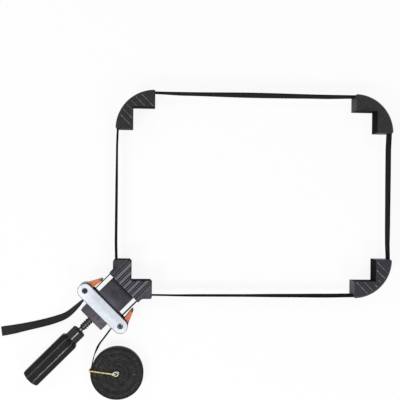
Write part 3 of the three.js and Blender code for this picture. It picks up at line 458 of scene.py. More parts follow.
def webbing(name, color, edge_share, wound=False, sheen=0.15, specular=0.25, upright_shade=1.0):
    """Plain-woven band. The map named band holds metres along and across it.

    The yarns' crowns are painted lighter and the hollows darker, as light and shade. The selvedges show a
    share of its tone as painted shade where the band's edges turn away, and so do upright faces, where
    upright_shade is under one.
    """
    g = painted(name, Specular_IOR_Level=specular, Sheen_Weight=sheen, Sheen_Roughness=0.5)
    travel, width = g.parts(g.node("ShaderNodeUVMap", uv_map="band"))[:2]
    along = g.math("DIVIDE", travel, WEFT_STEP * MM)
    across = g.math("DIVIDE", width, WARP_STEP * MM)
    rise = g.wave(g.math("ADD", along, g.math("FLOOR", across)))
    warp = g.product(g.wave(g.math("FRACT", across)), g.ramp(rise, -1.0, 1.0))
    weft = g.product(g.wave(g.math("FRACT", along)), g.ramp(rise, 1.0, -1.0))
    height = g.greatest(warp, weft)
    fuzz = g.ramp(g.noise(0.0016), 0.25, 0.75, 0.55, 1.45)
    lit = g.product(g.ramp(height, 0.1, 0.95, 0.45, 1.25), g.span(g.size(width), SELVEDGE, 1.0, edge_share),
                    fuzz)
    if wound:
        lit = g.product(lit, coil_rings(g))
    # Upright faces painted darker, as shade
    if upright_shade < 1:
        lit = g.product(lit, g.ramp(g.level(), 0.2, 0.8, upright_shade, 1.0))
    rough = g.ramp(height, 0.0, 1.0, 0.95, 0.72)
    woven = g.bump(height, 0.22 * MM, g.bump(g.noise(0.0003), 0.03 * MM))
    return g.set(Base_Color=g.tone(shown(*color), lit), Roughness=rough, Normal=woven).owner


COIL_RIM = (COIL_RADIUS - 3.2, COIL_RADIUS - 1.6)
COIL_LOOP_GROUPS = 3.2
COIL_WANDER = 4


def coil_rings(g):
    """Loops of a coil painted lighter or darker, as if they catch more or less light, and its outer edge
    darker.
    """
    reach = g.reach_from(from_notch(*COIL_CENTRE, 0))
    ring = g.math("ADD", reach, g.product(g.noise(0.02, 1.0), COIL_WANDER * MM))
    inputs = {"Vector": g.node("ShaderNodeCombineXYZ", {0: ring}), "Scale": 1 / (COIL_LOOP_GROUPS * MM)}
    loops = g.node("ShaderNodeTexNoise", {**inputs, "Detail": 1.0})
    speck = g.ramp(g.noise(0.0034), 0.38, 0.62, 0.5, 1.5)
    return g.product(g.ramp(loops, 0.4, 0.6, 0.5, 1.55), speck, g.span(reach, COIL_RIM, 1.0, 0.12))


def metal(name, color, roughness, cloud_size, contrast, edge=0.3, metallic=1.0, rim=1.0):
    """Bare or blackened metal: cloudy tone, small dents, worn edges, and sloped sides darkened by the rim
    factor as painted shade.
    """
    g = painted(name, Metallic=metallic)
    dents = g.noise(0.0016, 3.0)
    tone = g.patches(1 - contrast, 1 + contrast / 2, cloud_size, 4.0)
    tone = g.product(tone, g.ramp(dents, 0.25, 0.6, 0.9, 1.03))
    # Painted shade: sloped and upright faces darkened by the rim factor
    if rim < 1:
        tone = g.product(tone, g.ramp(g.level(), 0.45, 0.95, rim, 1.0))
    worn = g.mix(g.product(g.edges(), edge), g.tone(shown(*color), tone), shown(235, 236, 240))
    rough = g.patches(roughness - 0.06, roughness + 0.08, 0.005, 3.0)
    return g.set(Base_Color=worn, Roughness=rough, Normal=g.bump(dents, 0.01 * MM)).owner


PLATE_TURN = -math.pi / 4
PLATE_DARKER_CENTRE = 8
PLATE_DARKER_MIDDLE = (26, 46)
PLATE_FRONT_DARKER = (-2, 3)
PLATE_RIM = (PLATE_HALF_WIDTH - 1.3, PLATE_HALF_WIDTH - 0.8)


def plate_aluminium():
    """Tumbled aluminium: soft streaks along the plate, a darker middle and front, and painted shade in a
    dark line round its outline and on its sloped edges and sides.
    """
    g = painted("plate_aluminium", Metallic=1.0)
    x, y = g.parts(g.place())[:2]
    across = g.across(x, y)
    forward = g.less(g.along(x, y), on_tensioner(0, 0, 0).dot((TURN, TURN, 0)))
    past_pin = g.greatest(g.less(g.size(across), PIN_LINE * MM), 0)
    tone = g.product(
        g.patches(0.94, 1.02, 0.013, 3.0, (2.5, 0.8, 1), PLATE_TURN),
        g.patches(0.97, 1.02, 0.0022, 3.0, (4, 0.7, 1), PLATE_TURN),
        g.span(g.size(g.less(across, PLATE_DARKER_CENTRE * MM)), PLATE_DARKER_MIDDLE, 0.87, 1.0),
        g.span(forward, PLATE_FRONT_DARKER, 1.06, 0.93),
        # Painted shade: a dark line round the plate's outline, and its sloped edges and sides darkened
        g.span(g.reach(past_pin, forward), PLATE_RIM, 1.0, 0.4),
        g.ramp(g.level(), 0.6, 0.96, 0.05, 1.0),
    )
    fine = g.bump(g.noise(0.0016, 3.0, (3, 0.7, 1), PLATE_TURN), 0.003 * MM)
    rough = g.patches(0.7, 0.76, 0.005, 3.0)
    return g.set(Base_Color=g.tone(shown(220, 225, 232), tone), Roughness=rough, Normal=fine).owner


MATERIALS = {
    # The jaws' plastics are lit and shaded copies of one plastic: each jaw's tone and its painted ridge
    # highlight follow how the light falls on it
    "jaw_plastic": plastic("jaw_plastic", (47, 47, 52), 0.55, 0.25, 0.15, ridge_highlight=(150, 150, 156)),
    "jaw_plastic_shaded": plastic("jaw_plastic_shaded", (27, 27, 28), 0.55, 0.25, 0.15, ridge_highlight=(140, 141, 148),
                                matt_sides=0.95),
    "jaw_plastic_matt_less_lit": plastic("jaw_plastic_matt_less_lit", (41, 41, 42), 0.6, 0.2, 0.1, ridge_highlight=(72, 72, 76)),
    # Near-black plastic for the jaws' upright faces: painted shade
    "jaw_wall_painted_shade": plastic("jaw_wall_painted_shade", (22, 22, 23), 0.8, 0.02, 0.0),
    "main_jaw_plastic": plastic("main_jaw_plastic", (52, 51, 57), 0.6, 0.2, 0.3, shade=jaw_shade,
                                matt_sides=0.95),
    "block_plastic": plastic("block_plastic", (58, 56, 62), 0.6, 0.2),
    "handle_plastic": plastic("handle_plastic", (40, 40, 40), 0.5, 0.02, edge=0.1, grain=0.015),
    "handle_edge": plastic("handle_edge", (30, 30, 30), 0.22, 0.6, edge=0.1, grain=0.003, gloss_marks=0.03),
    "collar_plastic": plastic("collar_plastic", (18, 18, 18), 0.16, 0.4, edge=0.1, grain=0.0,
                              gloss_marks=0.02, matt_sides=0.9),
    "lever_plastic": lever_plastic(),
    # The band's materials are lit and shaded copies of one webbing: the loop and above all the lead, seen on
    # edge, are painted darker as shade
    "webbing": webbing("webbing", (46, 46, 46), 0.2, sheen=0.0, specular=0.0),
    "tail_webbing": webbing("tail_webbing", (52, 52, 52), 0.2, sheen=0.05, specular=0.1, upright_shade=0.1),
    "lead_webbing": webbing("lead_webbing", (14, 14, 14), 0.6, sheen=0.0, specular=0.0),
    "coil_webbing": webbing("coil_webbing", (49, 49, 50), 0.75, wound=True),
    "plate_aluminium": plate_aluminium(),
    "black_steel": metal("black_steel", (17, 17, 18), 0.3, 0.004, 0.3, metallic=0.8),
    "spindle_steel": metal("spindle_steel", (88, 88, 92), 0.24, 0.003, 0.3, edge=0.15, rim=0.12),
    "bright_steel": metal("bright_steel", (196, 199, 205), 0.28, 0.006, 0.15),
    "tie_wire": plastic("tie_wire", (246, 236, 176), 0.3, 0.5, edge=0.0),
    "tie_knot": plastic("tie_knot", (232, 230, 222), 0.25, 0.5, edge=0.0),
    "tie_film": plastic("tie_film", (60, 50, 10), 0.6, 0.1, edge=0.0),
}


# Meshes
def new_piece(name, verts, faces, body, slot, replaced, material=None, smooth_degrees=38):
    mesh = bpy.data.meshes.new(name)
    mesh.from_pydata([tuple(v) for v in verts], [], faces)
    mesh.materials.append(MATERIALS[material or slot])
    mesh.shade_smooth()
    mesh.set_sharp_from_angle(angle=math.radians(smooth_degrees))
    piece = bpy.data.objects.new(name, mesh)
    bpy.context.scene.collection.objects.link(piece)
    if body:
        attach(piece, body)
    if replaced:
        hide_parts(*replaced)
    return piece


def loft_faces(rings, sides):
    """Faces that join rings of points, with both ends closed."""
    faces = [
        (r * sides + i, r * sides + (i + 1) % sides, (r + 1) * sides + (i + 1) % sides, (r + 1) * sides + i)
        for r in range(rings - 1) for i in range(sides)
    ]
    last = (rings - 1) * sides
    return faces + [tuple(reversed(range(sides))), tuple(range(last, last + sides))]


def smooth_line(points, step):
    """A centripetal Catmull-Rom curve through points, sampled about every step metres."""
    points = [np.array(p, float) for p in points]
    ends = [2 * points[0] - points[1], *points, 2 * points[-1] - points[-2]]
    line = []
    for a, b, c, d in zip(ends, ends[1:], ends[2:], ends[3:]):
        gaps = [max(float(np.linalg.norm(q - p)), 1e-9) ** 0.5 for p, q in ((a, b), (b, c), (c, d))]
        first = (c - b) / gaps[1] + gaps[1] / (gaps[0] + gaps[1]) * ((b - a) / gaps[0] - (c - b) / gaps[1])
        second = (c - b) / gaps[1] + gaps[1] / (gaps[1] + gaps[2]) * ((d - c) / gaps[2] - (c - b) / gaps[1])
        first, second = first * gaps[1], second * gaps[1]
        count = max(2, round(float(np.linalg.norm(c - b)) / step))
        for t in np.arange(count) / count:
            line.append(b * (2 * t**3 - 3 * t**2 + 1) + c * (3 * t**2 - 2 * t**3)
                        + first * (t**3 - 2 * t**2 + t) + second * (t**3 - t**2))
    return np.array(line + [points[-1]])


def distances(line):
    return np.concatenate([[0], np.cumsum(np.linalg.norm(np.diff(line, axis=0), axis=1))])


def unit(vectors):
    """The same directions, with a length of one."""
    return vectors / np.linalg.norm(vectors, axis=1)[:, None]


def headings(line):
    """The direction of travel at each point of a line."""
    return unit(np.gradient(line, axis=0))


def square_to(line):
    """Two directions square to a line, at each of its points."""
    along = headings(line)
    side = unit(np.cross(along, [0.31, 0.22, 0.93]))
    return side, np.cross(along, side)


def band_section(stations=7, edge_points=5):
    """The band's section: flat faces and round selvedges, as (across, through) in metres."""
    radius = BAND_THICKNESS / 2
    flat = BAND_WIDTH / 2 - radius
    upper = [(a, radius) for a in np.linspace(-flat, flat, stations)]
    turn = np.linspace(math.pi / 2, -math.pi / 2, edge_points + 2)[1:-1]
    right = [(flat + radius * math.cos(t), radius * math.sin(t)) for t in turn]
    half = upper + right
    return np.array(half + [(-a, -b) for a, b in half]) * MM


def band_piece(name, line, rolls, body, replaced, material="webbing", section=None):
    """A woven band along a line. It stands on its edge where the roll is zero."""
    section = band_section() if section is None else section
    along = headings(line)
    flat = unit(np.cross([0, 0, 1], along))
    upright = np.cross(along, flat)
    rolls = np.broadcast_to(rolls, len(line))[:, None]
    across = upright * np.cos(rolls) + flat * np.sin(rolls)
    through = np.cross(across, along)
    rings = line[:, None] + across[:, None] * section[:, :1] + through[:, None] * section[:, 1:]
    sides = len(section)
    piece = new_piece(name, rings.reshape(-1, 3), loft_faces(len(line), sides), body, "webbing", replaced,
                      material, smooth_degrees=60)
    travel = np.repeat(distances(line), sides)
    width = np.tile(section[:, 0], len(line))
    places = np.stack([travel, width], axis=1)
    layer = piece.data.uv_layers.new(name="band")
    corners = np.empty(len(piece.data.loops), int)
    piece.data.loops.foreach_get("vertex_index", corners)
    layer.data.foreach_set("uv", places[corners].astype(np.float32).ravel())
    return piece


def spread(shares, values, count):
    """Values at shares of a length, eased between them, at count even steps."""
    t = np.linspace(0, 1, count)
    k = np.clip(np.searchsorted(shares, t, side="right") - 1, 0, len(shares) - 2)
    start, end = np.array(shares)[k], np.array(shares)[k + 1]
    s = (t - start) / (end - start)
    s = s * s * (3 - 2 * s)
    values = np.array(values, float)
    return values[k] * (1 - s) + values[k + 1] * s


# Spare band: the tail that lies free, and the lead that goes on into the coil
def coil_line():
    """From the straight outer end inwards. Loops are pressed a little out of round and stand unevenly."""
    x, y = COIL_CENTRE
    count = COIL_LOOPS * COIL_STEPS + 1
    turn = np.arange(count) / COIL_STEPS
    angle = math.radians(COIL_START_DEGREES) + 2 * math.pi * turn
    radius = COIL_RADIUS - turn * (COIL_RADIUS - COIL_EYE_RADIUS) / COIL_LOOPS
    share = np.clip(turn, 0, 1) * radius / COIL_RADIUS
    radius = radius + share * sum(high * np.cos(times * angle + at) for times, high, at in COIL_WAVES)
    lift = np.random.default_rng(COIL_SEED).uniform(0, COIL_LIFT, COIL_LOOPS + 2)
    lift[:2] = 0
    rise = spread(np.arange(COIL_LOOPS + 2) / (COIL_LOOPS + 1), lift, count)
    around = (x + radius * np.cos(angle), y + radius * np.sin(angle))
    spiral = np.stack([*around, BAND_WIDTH / 2 + rise], axis=1)
    heading = (spiral[0] - spiral[1]) / np.linalg.norm(spiral[0] - spiral[1])
    steps = np.linspace(COIL_STRAIGHT, 0, COIL_STRAIGHT_STEPS + 1)[:-1]
    straight = [spiral[0] + heading * d for d in steps]
    line = np.concatenate([straight, spiral])
    return (line + [NOTCH_INSET, NOTCH_INSET, 0]) * MM


def exits(side, slope=0.0):
    """Where the band leaves the cam, inside and behind the plates: straight, or bent out by a slope."""
    places = (GRIP_FRONT, -EXIT_BEND, -PLATE_HALF_WIDTH, -PLATE_HALF_WIDTH - EXIT_STRAIGHT)
    out = [slope * max(0, -EXIT_BEND - along) for along in places]
    return [on_tensioner(side * (LINK_LINE + o), along, AXIS_HEIGHT) for o, along in zip(out, places)]


def band_tail():
    points = exits(-1) + [from_notch(*p) for p in TAIL_ROUTE]
    line = smooth_line(points, CORD_STEP * MM)
    known = distances(np.array([tuple(p) for p in points]))
    travel = distances(line)
    degrees = EXIT_ROLL_DEGREES + TAIL_ROLL_DEGREES
    rolls = np.radians(np.interp(travel / travel[-1], known / known[-1], degrees))
    rolls = np.pad(rolls, ROLL_SMOOTHING // 2, mode="edge")
    rolls = np.convolve(rolls, np.ones(ROLL_SMOOTHING) / ROLL_SMOOTHING, mode="valid")
    tail = band_piece("band_tail_webbing", line, rolls, "tensioner", ["band_tail"], "tail_webbing")


def by_tie(reach, z):
    """A point that far from the coil's middle, on the side where the tie comes down."""
    x, y = COIL_CENTRE
    angle = math.radians(TIE_DEGREES)
    return from_notch(x + reach * math.cos(angle), y + reach * math.sin(angle), z)


coil = coil_line()
band_tail()


def band_lead():
    """The lead runs on along the coil's outer end and stops under the tie."""
    points = exits(1, LEAD_EXIT_SLOPE) + [from_notch(*p) for p in LEAD_ROUTE]
    foot = np.array(by_tie(COIL_RADIUS, BAND_WIDTH / 2))
    joint = int(np.argmin(np.linalg.norm(coil - foot, axis=1)))
    free = smooth_line(points + [coil[0], coil[1]], CORD_STEP * MM)[:-1]
    free = free[: int(np.argmin(np.linalg.norm(free - coil[0], axis=1)))]
    line = np.concatenate([free, coil[: joint + 1]])
    travel = distances(free) / distances(free)[-1]
    share = np.clip(np.minimum(travel - LEAD_LEAN_START, 1 - travel) / LEAD_LEAN_EASE, 0, 1)
    rolls = np.concatenate([math.radians(LEAD_LEAN_DEGREES) * share, np.zeros(joint + 1)])
    lead = band_piece("band_lead_webbing", line, rolls, "tensioner", ["band_lead"], "lead_webbing")
    wound = band_piece("band_coil_webbing", coil[joint:], 0.0, "tensioner", ["band_coil"], "coil_webbing",
                       band_section(stations=3, edge_points=4))
    return lead, wound, line


# Tie: two plastic-coated wires twisted together, looped at the coil's eye. The spacing is the share of
# a wire's radius between it and the twist's middle. Each wave is a share of the width, a rate and a start,
# and the section holds shares of the film's half width and thickness
TIE_WIRE_RADIUS = 0.52
WIRE_SIDES = 8
WIRE_SPACING = 0.92
TIE_FILM_HALF_WIDTH = 2.6
TIE_FILM_THICKNESS = 0.25
TIE_FILM_START = 12
TIE_FILM_DROP = 1.5 * TIE_WIRE_RADIUS
TIE_FILM_WAVES = ((0.13, 0.9, 0), (0.08, 2.3, 1))
TIE_FILM_SECTION = ((-1, 0), (-0.5, 0.6), (0, 0.8), (0.5, 0.6), (1, 0), (0.5, -0.4), (-0.5, -0.4))
TIE_TWIST = 5.2
KNOT_TWIST = 3.4
TIE_STEP = 0.35
TIE_FILM_STEP = 0.6

# Its way: up the coil's eye by height, over the top, and down outside by reach and height
TIE_TOP = 16.9
TIE_RISE = (1.2, 6, 11)
TIE_FALL = ((42.1, 16.8), (44.1, 14.5), (44.1, 8), (44.1, 1.2))
TIE_LINE = [(-21.6, -149.9), (-24.5, -150.2), (-32, -149.4), (-42, -148), (-52, -146.6), (-58.5, -145.6)]
TIE_LOOP = [(-28.5, -150.6, 0.9), (-26.9, -148.3, 1.3), (-24.2, -146.6, 1.2), (-21, -146.6, 1),
            (-19.1, -148.6, 0.9), (-19.6, -151.4, 0.8), (-22.4, -152.9, 0.8), (-25.6, -152, 0.9),
            (-28.7, -150, 1.4), (-31, -148.9, 1.2)]


def tube(line, radius):
    """Rings of a round wire along a line, in metres."""
    side, other = square_to(line)
    turn = np.linspace(0, 2 * math.pi, WIRE_SIDES + 1)[:-1]
    ring = side[:, None] * np.cos(turn)[None, :, None] + other[:, None] * np.sin(turn)[None, :, None]
    return line[:, None] + ring * radius


def twisted(path, radius, twist):
    """Two wires wound round a path: one list of rings for each."""
    line = smooth_line(path, TIE_STEP * MM)
    side, other = square_to(line)
    phase = distances(line) / (twist * MM) * 2 * math.pi
    strands = []
    for start in (0, math.pi):
        shift = side * np.cos(phase + start)[:, None] + other * np.sin(phase + start)[:, None]
        strands.append(tube(line + shift * radius * MM * WIRE_SPACING, radius * MM))
    return strands


def wires_piece(name, groups, replaced, material):
    verts, faces = [], []
    for rings in groups:
        offset = len(verts)
        verts += rings.reshape(-1, 3).tolist()
        faces += [tuple(offset + i for i in face) for face in loft_faces(len(rings), rings.shape[1])]
    return new_piece(name, verts, faces, "tensioner", "tie_wire", replaced, material, smooth_degrees=80)


def tie_film(line):
    """The tie's brown film: a narrow ribbon under its wires, with wavy edges. Its dark brown edges beside
    the wires are partly the film's colour and partly painted shade.
    """
    line = line[distances(line) > TIE_FILM_START * MM]
    along = headings(line)
    across = np.cross(along, [0.0, 0.0, 1.0])
    steep = np.linalg.norm(across, axis=1)[:, None]
    flat = across[len(line) // 2] / steep[len(line) // 2]
    across = np.where(steep > 0.35, across / np.maximum(steep, 1e-6), flat)
    through = np.cross(across, along)
    travel = distances(line) / MM
    waves = sum(share * np.sin(travel * rate + at) for share, rate, at in TIE_FILM_WAVES)
    half = TIE_FILM_HALF_WIDTH * MM * (1 + waves)
    rings = []
    for p, a, n, h in zip(line, across, through, half):
        n = -n if np.dot(n, [0, 0, 1]) < -0.2 else n
        rings.append([p + a * h * x + n * (TIE_FILM_THICKNESS * z - TIE_FILM_DROP) * MM
                      for x, z in TIE_FILM_SECTION])
    return wires_piece("coil_tie_film", [np.array(rings)], ["coil_tie"], "tie_film")


def coil_tie():
    over = [from_notch(*TIE_LINE[0], z) for z in TIE_RISE]
    over += [from_notch(*p, TIE_TOP) for p in TIE_LINE[1:]]
    over += [by_tie(*p) for p in TIE_FALL]
    strands = twisted(over, TIE_WIRE_RADIUS, TIE_TWIST)
    wires = wires_piece("coil_tie_wires", strands, ["coil_tie"], "tie_wire")
    film = tie_film(smooth_line(over, TIE_FILM_STEP * MM))
    path = [from_notch(x, y, TIE_TOP + z) for x, y, z in TIE_LOOP]
    strands = twisted(path, TIE_WIRE_RADIUS, KNOT_TWIST)
    knot = wires_piece("coil_tie_knot", strands, ["coil_tie"], "tie_knot")
    return wires, film, knot


lead, wound, lead_line = band_lead()
tie = coil_tie()


# Band loop. Each free stretch leans a little from its edge: shares of its length, then degrees.
# It also bows out or in, in millimetres, and the ease is the share of its length that the bow takes to form
LEANS = {
    "left": ([0, 0.15, 0.5, 0.85, 1], [10.3, 10.5, 9.8, 6.6, 6]),
    "top": ([0, 0.15, 0.5, 0.85, 1], [5, 12, 24, 16.5, 11.5]),
    "right": ([0, 0.3, 0.7, 1], [15.5, 15, 12, 6.5]),
    "bottom": ([0, 0.15, 0.35, 0.57, 0.76, 0.93, 1], [13.8, 14.5, 11, 5.8, 4.8, 0.5, 0]),
}
BOWS = {"left": 0.8, "top": -0.8, "right": -1.0, "bottom": 0.6}
BOW_EASE = 0.125
LOOP_STEP = 3
LEAST_STEP = 0.05
CORNER_STEPS = 40
BEND_STEPS = 8
INSIDE_JAW = 2


def arc_points(x, y, radius, start, end, steps):
    turn = np.radians(np.linspace(start, end, steps + 1))
    return [(x + radius * math.cos(t), y + radius * math.sin(t)) for t in turn]


def wing_points(reach):
    """The band's line through the main jaw's right wing, from its end to its rear, on the sides' axes."""
    centre_across = LINK_LINE + BAND_BEND_RADIUS
    centre_along = centre_across - (BAND_OFFSET + BAND_BEND_RADIUS) * math.sqrt(2)
    bend = arc_points(centre_across, centre_along, BAND_BEND_RADIUS, 135, 180, BEND_STEPS)
    turned = [((u + v) * TURN, (v - u) * TURN) for u, v in [*bend, (LINK_LINE, reach)]]
    return [(WING_LENGTH, -BAND_OFFSET), *turned]


def band_loop():
    radius = JAW_ARM + BAND_OFFSET
    far, top = FRAME_LENGTH - JAW_ARM, FRAME_WIDTH - JAW_ARM
    right_wing = wing_points(-JAW_REAR + INSIDE_JAW)
    left_wing = [(y, x) for x, y in reversed(right_wing)]
    runs = [
        (left_wing, None),
        ([left_wing[-1], (-BAND_OFFSET, top)], "left"),
        (arc_points(JAW_ARM, top, radius, 180, 90, CORNER_STEPS), None),
        ([(JAW_ARM, FRAME_WIDTH + BAND_OFFSET), (far, FRAME_WIDTH + BAND_OFFSET)], "top"),
        (arc_points(far, top, radius, 90, 0, CORNER_STEPS), None),
        ([(FRAME_LENGTH + BAND_OFFSET, top), (FRAME_LENGTH + BAND_OFFSET, JAW_ARM)], "right"),
        (arc_points(far, JAW_ARM, radius, 0, -90, CORNER_STEPS), None),
        ([(far, -BAND_OFFSET), right_wing[0]], "bottom"),
        (right_wing, None),
    ]
    line, rolls = [], []
    for points, stretch in runs:
        if stretch:
            shares, degrees = LEANS[stretch]
            start, end = np.array(points)
            count = int(math.dist(start, end) / LOOP_STEP)
            way = (end - start) / math.dist(start, end)
            out = np.array([-way[1], way[0]]) * BOWS[stretch]
            points = [tuple(start + (end - start) * t + out * min(1, t / BOW_EASE, (1 - t) / BOW_EASE))
                      for t in np.linspace(0, 1, count)]
            rolls += list(np.radians(spread(shares, degrees, count)))
        else:
            rolls += [None] * len(points)
        line += points
    keep = [i for i, p in enumerate(line) if i == 0 or math.dist(p, line[i - 1]) > LEAST_STEP]
    line = np.array([tuple(from_notch(*line[i], AXIS_HEIGHT)) for i in keep])
    known = [(i, rolls[k]) for i, k in enumerate(keep) if rolls[k] is not None]
    held = [(i, 0.0) for i in (0, len(keep) - 1)]
    place, value = zip(*sorted(known + held))
    return band_piece("band_loop_webbing", line, np.interp(range(len(keep)), place, value), "root",
                      ["band_loop"])


band_loop()


LINK_STEPS = 40
LINK_OVERLAP = 0.1


def band_link(word, side):
    """The stretch between the main jaw and a cam. On the clamp itself it grows as the tensioner slides."""
    inner = on_jaw(side * LINK_LINE, -JAW_REAR + INSIDE_JAW, AXIS_HEIGHT)
    outer = on_tensioner(side * LINK_LINE, GRIP_FRONT + LINK_OVERLAP, AXIS_HEIGHT)
    line = np.array([tuple(inner.lerp(outer, t)) for t in np.linspace(0, 1, LINK_STEPS + 1)])
    link = band_piece(f"band_link_{word}_webbing", line, 0.0, None, [f"band_link_{word}"])
    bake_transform(link)


for word, side in (("left", -1), ("right", 1)):
    band_link(word, side)


# Pieces whose CAD shape is right get rounded edges on a copy, where the edge turns by enough degrees
BEVEL_STEPS = 3
BEVEL_LEAST_DEGREES = 28
FLAT_DEGREES = 0.4
WELD_DISTANCE = 1e-6


def refined(node, slot, bevel, material=None):
    source = frame["nodes"][node]
    mesh = bmesh.new()
    mesh.from_mesh(source.data)
    bmesh.ops.remove_doubles(mesh, verts=mesh.verts, dist=WELD_DISTANCE)
    flat = math.radians(FLAT_DEGREES)
    bmesh.ops.dissolve_limit(mesh, angle_limit=flat, verts=mesh.verts, edges=mesh.edges)
    verts = [tuple(v.co) for v in mesh.verts]
    faces = [tuple(v.index for v in f.verts) for f in mesh.faces]
    mesh.free()
    piece = new_piece(f"{node}_finished", verts, faces, source["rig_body"], slot, [node], material,
                      smooth_degrees=180)
    rounding = piece.modifiers.new("rounding", "BEVEL")
    rounding.width = bevel * MM
    rounding.segments = BEVEL_STEPS
    rounding.limit_method = "ANGLE"
    rounding.angle_limit = math.radians(BEVEL_LEAST_DEGREES)
    rounding.harden_normals = True
    return piece


REFINED = [
    ("upper_plate", "plate_aluminium", 0.45), ("lower_plate", "plate_aluminium", 0.45),
    ("nut_block", "block_plastic", 0.35),
    ("cam_lever_left", "lever_plastic", 0.7), ("cam_lever_right", "lever_plastic", 0.7),
    ("cam_pin_left", "black_steel", 0.25), ("cam_pin_right", "black_steel", 0.25),
    ("block_screw_left", "black_steel", 0.2), ("block_screw_right", "black_steel", 0.2),
]
for node, slot, bevel in REFINED:
    refined(node, slot, bevel)


def dark_walls(piece, corner):
    """Upright faces get near-black plastic as painted shade, but for the flat ends of a corner jaw's arms.
    """
    piece.data.materials.append(MATERIALS["jaw_wall_painted_shade"])
    centre = from_notch(*corner, 0)
    for face in piece.data.polygons:
        away = face.center - centre
        at_end = max(abs(away.x), abs(away.y)) > (JAW_ARM - 0.2) * MM
        if abs(face.normal.z) < 0.5 and not at_end:
            face.material_index = 1


JAWS = {
    "main_jaw": ("main_jaw_plastic", "main_jaw_plastic", 0.15, (0, 0)),
    "corner_jaw_top_left": ("jaw_plastic", "jaw_plastic_shaded", 0.3, (0, FRAME_WIDTH)),
    "corner_jaw_top_right": ("jaw_plastic", "jaw_plastic_matt_less_lit", 0.3, (FRAME_LENGTH, FRAME_WIDTH)),
    "corner_jaw_bottom_right": ("jaw_plastic", "jaw_plastic", 0.3, (FRAME_LENGTH, 0)),
}
for node, (slot, material, bevel, corner) in JAWS.items():
    dark_walls(refined(node, slot, bevel, material), corner)


# Handle and spindle, as rings along the screw's axis
def rings_piece(name, rings, body, slot, replaced, material=None, smooth_degrees=38):
    """Rings of (across, up) points at places along the screw's axis, in millimetres."""
    verts = [on_tensioner(x, along, AXIS_HEIGHT + z) for along, ring in rings for x, z in ring]
    faces = loft_faces(len(rings), len(rings[0][1]))
    if sum_turn(verts, faces) < 0:
        faces = [tuple(reversed(f)) for f in faces]
    return new_piece(name, verts, faces, body, slot, replaced, material, smooth_degrees)


def sum_turn(verts, faces):
    """Six times the volume, which is negative where the faces point in."""
    return sum(verts[f[0]].dot(verts[a].cross(verts[b])) for f in faces for a, b in zip(f[1:], f[2:]))


GRIP_FLATS = 8
GRIP_CORNER_POINTS = 7
GRIP_FLAT_POINTS = 5
GRIP_PERIOD = GRIP_CORNER_POINTS + GRIP_FLAT_POINTS
SHOULDER_RINGS = 9
GRIP_RINGS = 12

# Along the collar with shares of its radius, and along the grip's chamfer with how far it has sunk
COLLAR_PROFILE = ((0, 0.6), (0, 0.93), (0.3, 0.975), (0.8, 1), (1.1, 1), (1.6, 1), (COLLAR_LENGTH - 1, 1),
                  (COLLAR_LENGTH - 0.4, 1))
CHAMFER_PROFILE = ((0.4, 0.1), (0.75, 0.38), (2.1, 1.75), (2.4, 2.1), (2.5, 2.5))


def on_circle(turn):
    """Points at those angles on a circle with a radius of one."""
    return np.stack([np.cos(turn), np.sin(turn)], axis=-1)


def grip_ring(half_width, edge_radius):
    """A rounded octagon with a flat on top."""
    half = math.pi / GRIP_FLATS
    reach = (half_width - edge_radius) / math.cos(half)

    def corner(i):
        middle = (2 * i + 1) * half
        turn = np.linspace(middle - half, middle + half, GRIP_CORNER_POINTS)
        return reach * on_circle(middle) + edge_radius * on_circle(turn)

    points = []
    for i in range(GRIP_FLATS):
        start, end = corner(i)[-1], corner(i + 1)[0]
        points += [*corner(i), *np.linspace(start, end, GRIP_FLAT_POINTS + 2)[1:-1]]
    return np.array(points)


GRIP = grip_ring(GRIP_HALF_WIDTH, GRIP_EDGE_RADIUS)
ROUND = GRIP / np.linalg.norm(GRIP, axis=1)[:, None]


def handle():
    rings = [(HANDLE_FRONT - d, ROUND * COLLAR_RADIUS * share) for d, share in COLLAR_PROFILE]
    for t in np.linspace(0, 1, SHOULDER_RINGS):
        ease = t * t * (3 - 2 * t)
        ring = ROUND * COLLAR_RADIUS * (1 - ease) + GRIP * ease
        rings.append((HANDLE_FRONT - COLLAR_LENGTH - SHOULDER_LENGTH * t, ring))
    straight = HANDLE_LENGTH - GRIP_END_CHAMFER
    for d in np.linspace(COLLAR_LENGTH + SHOULDER_LENGTH, straight, GRIP_RINGS)[1:]:
        rings.append((HANDLE_FRONT - d, GRIP))
    for drop, sunk in CHAMFER_PROFILE:
        share = (GRIP_HALF_WIDTH - sunk) / GRIP_HALF_WIDTH
        rings.append((HANDLE_FRONT - straight - drop, GRIP * share))
    rings.append((HANDLE_FRONT - HANDLE_LENGTH, GRIP * 0.5))
    piece = rings_piece("handle_grip", rings, "spindle", "handle_plastic", ["handle"])
    piece.data.materials.append(MATERIALS["collar_plastic"])
    piece.data.materials.append(MATERIALS["handle_edge"])
    sides = len(GRIP)
    for face in piece.data.polygons:
        if max(face.vertices) < len(COLLAR_PROFILE) * sides:
            face.material_index = 1
        elif len(face.vertices) == 4:
            places = sorted({v % sides % GRIP_PERIOD for v in face.vertices})
            face.material_index = 2 if places[-1] < GRIP_CORNER_POINTS else 0


handle()

SPINDLE_SIDES = 48
THREAD_STEP = 0.2
THREAD_FADE = 2
NECK_INSIDE = 4
SHOULDER_CHAMFER = 0.4
TIP_CHAMFER = 0.5


def thread_height(place, angle):
    """The thread's height above its core, for places along the axis and angles round it."""
    start, end = HANDLE_FRONT + NECK_LENGTH, THREAD_FRONT
    phase = np.mod(place - angle / (2 * math.pi) * THREAD_PITCH, THREAD_PITCH)
    away = np.abs(phase - THREAD_PITCH / 2)
    flank = (THREAD_ROOT_WIDTH / 2 - away) / ((THREAD_ROOT_WIDTH - THREAD_CREST_WIDTH) / 2)
    fade = np.clip(np.minimum(place - start, end - place) / THREAD_FADE, 0, 1)
    return np.clip(flank, 0, 1) * (THREAD_RADIUS - THREAD_CORE) * fade


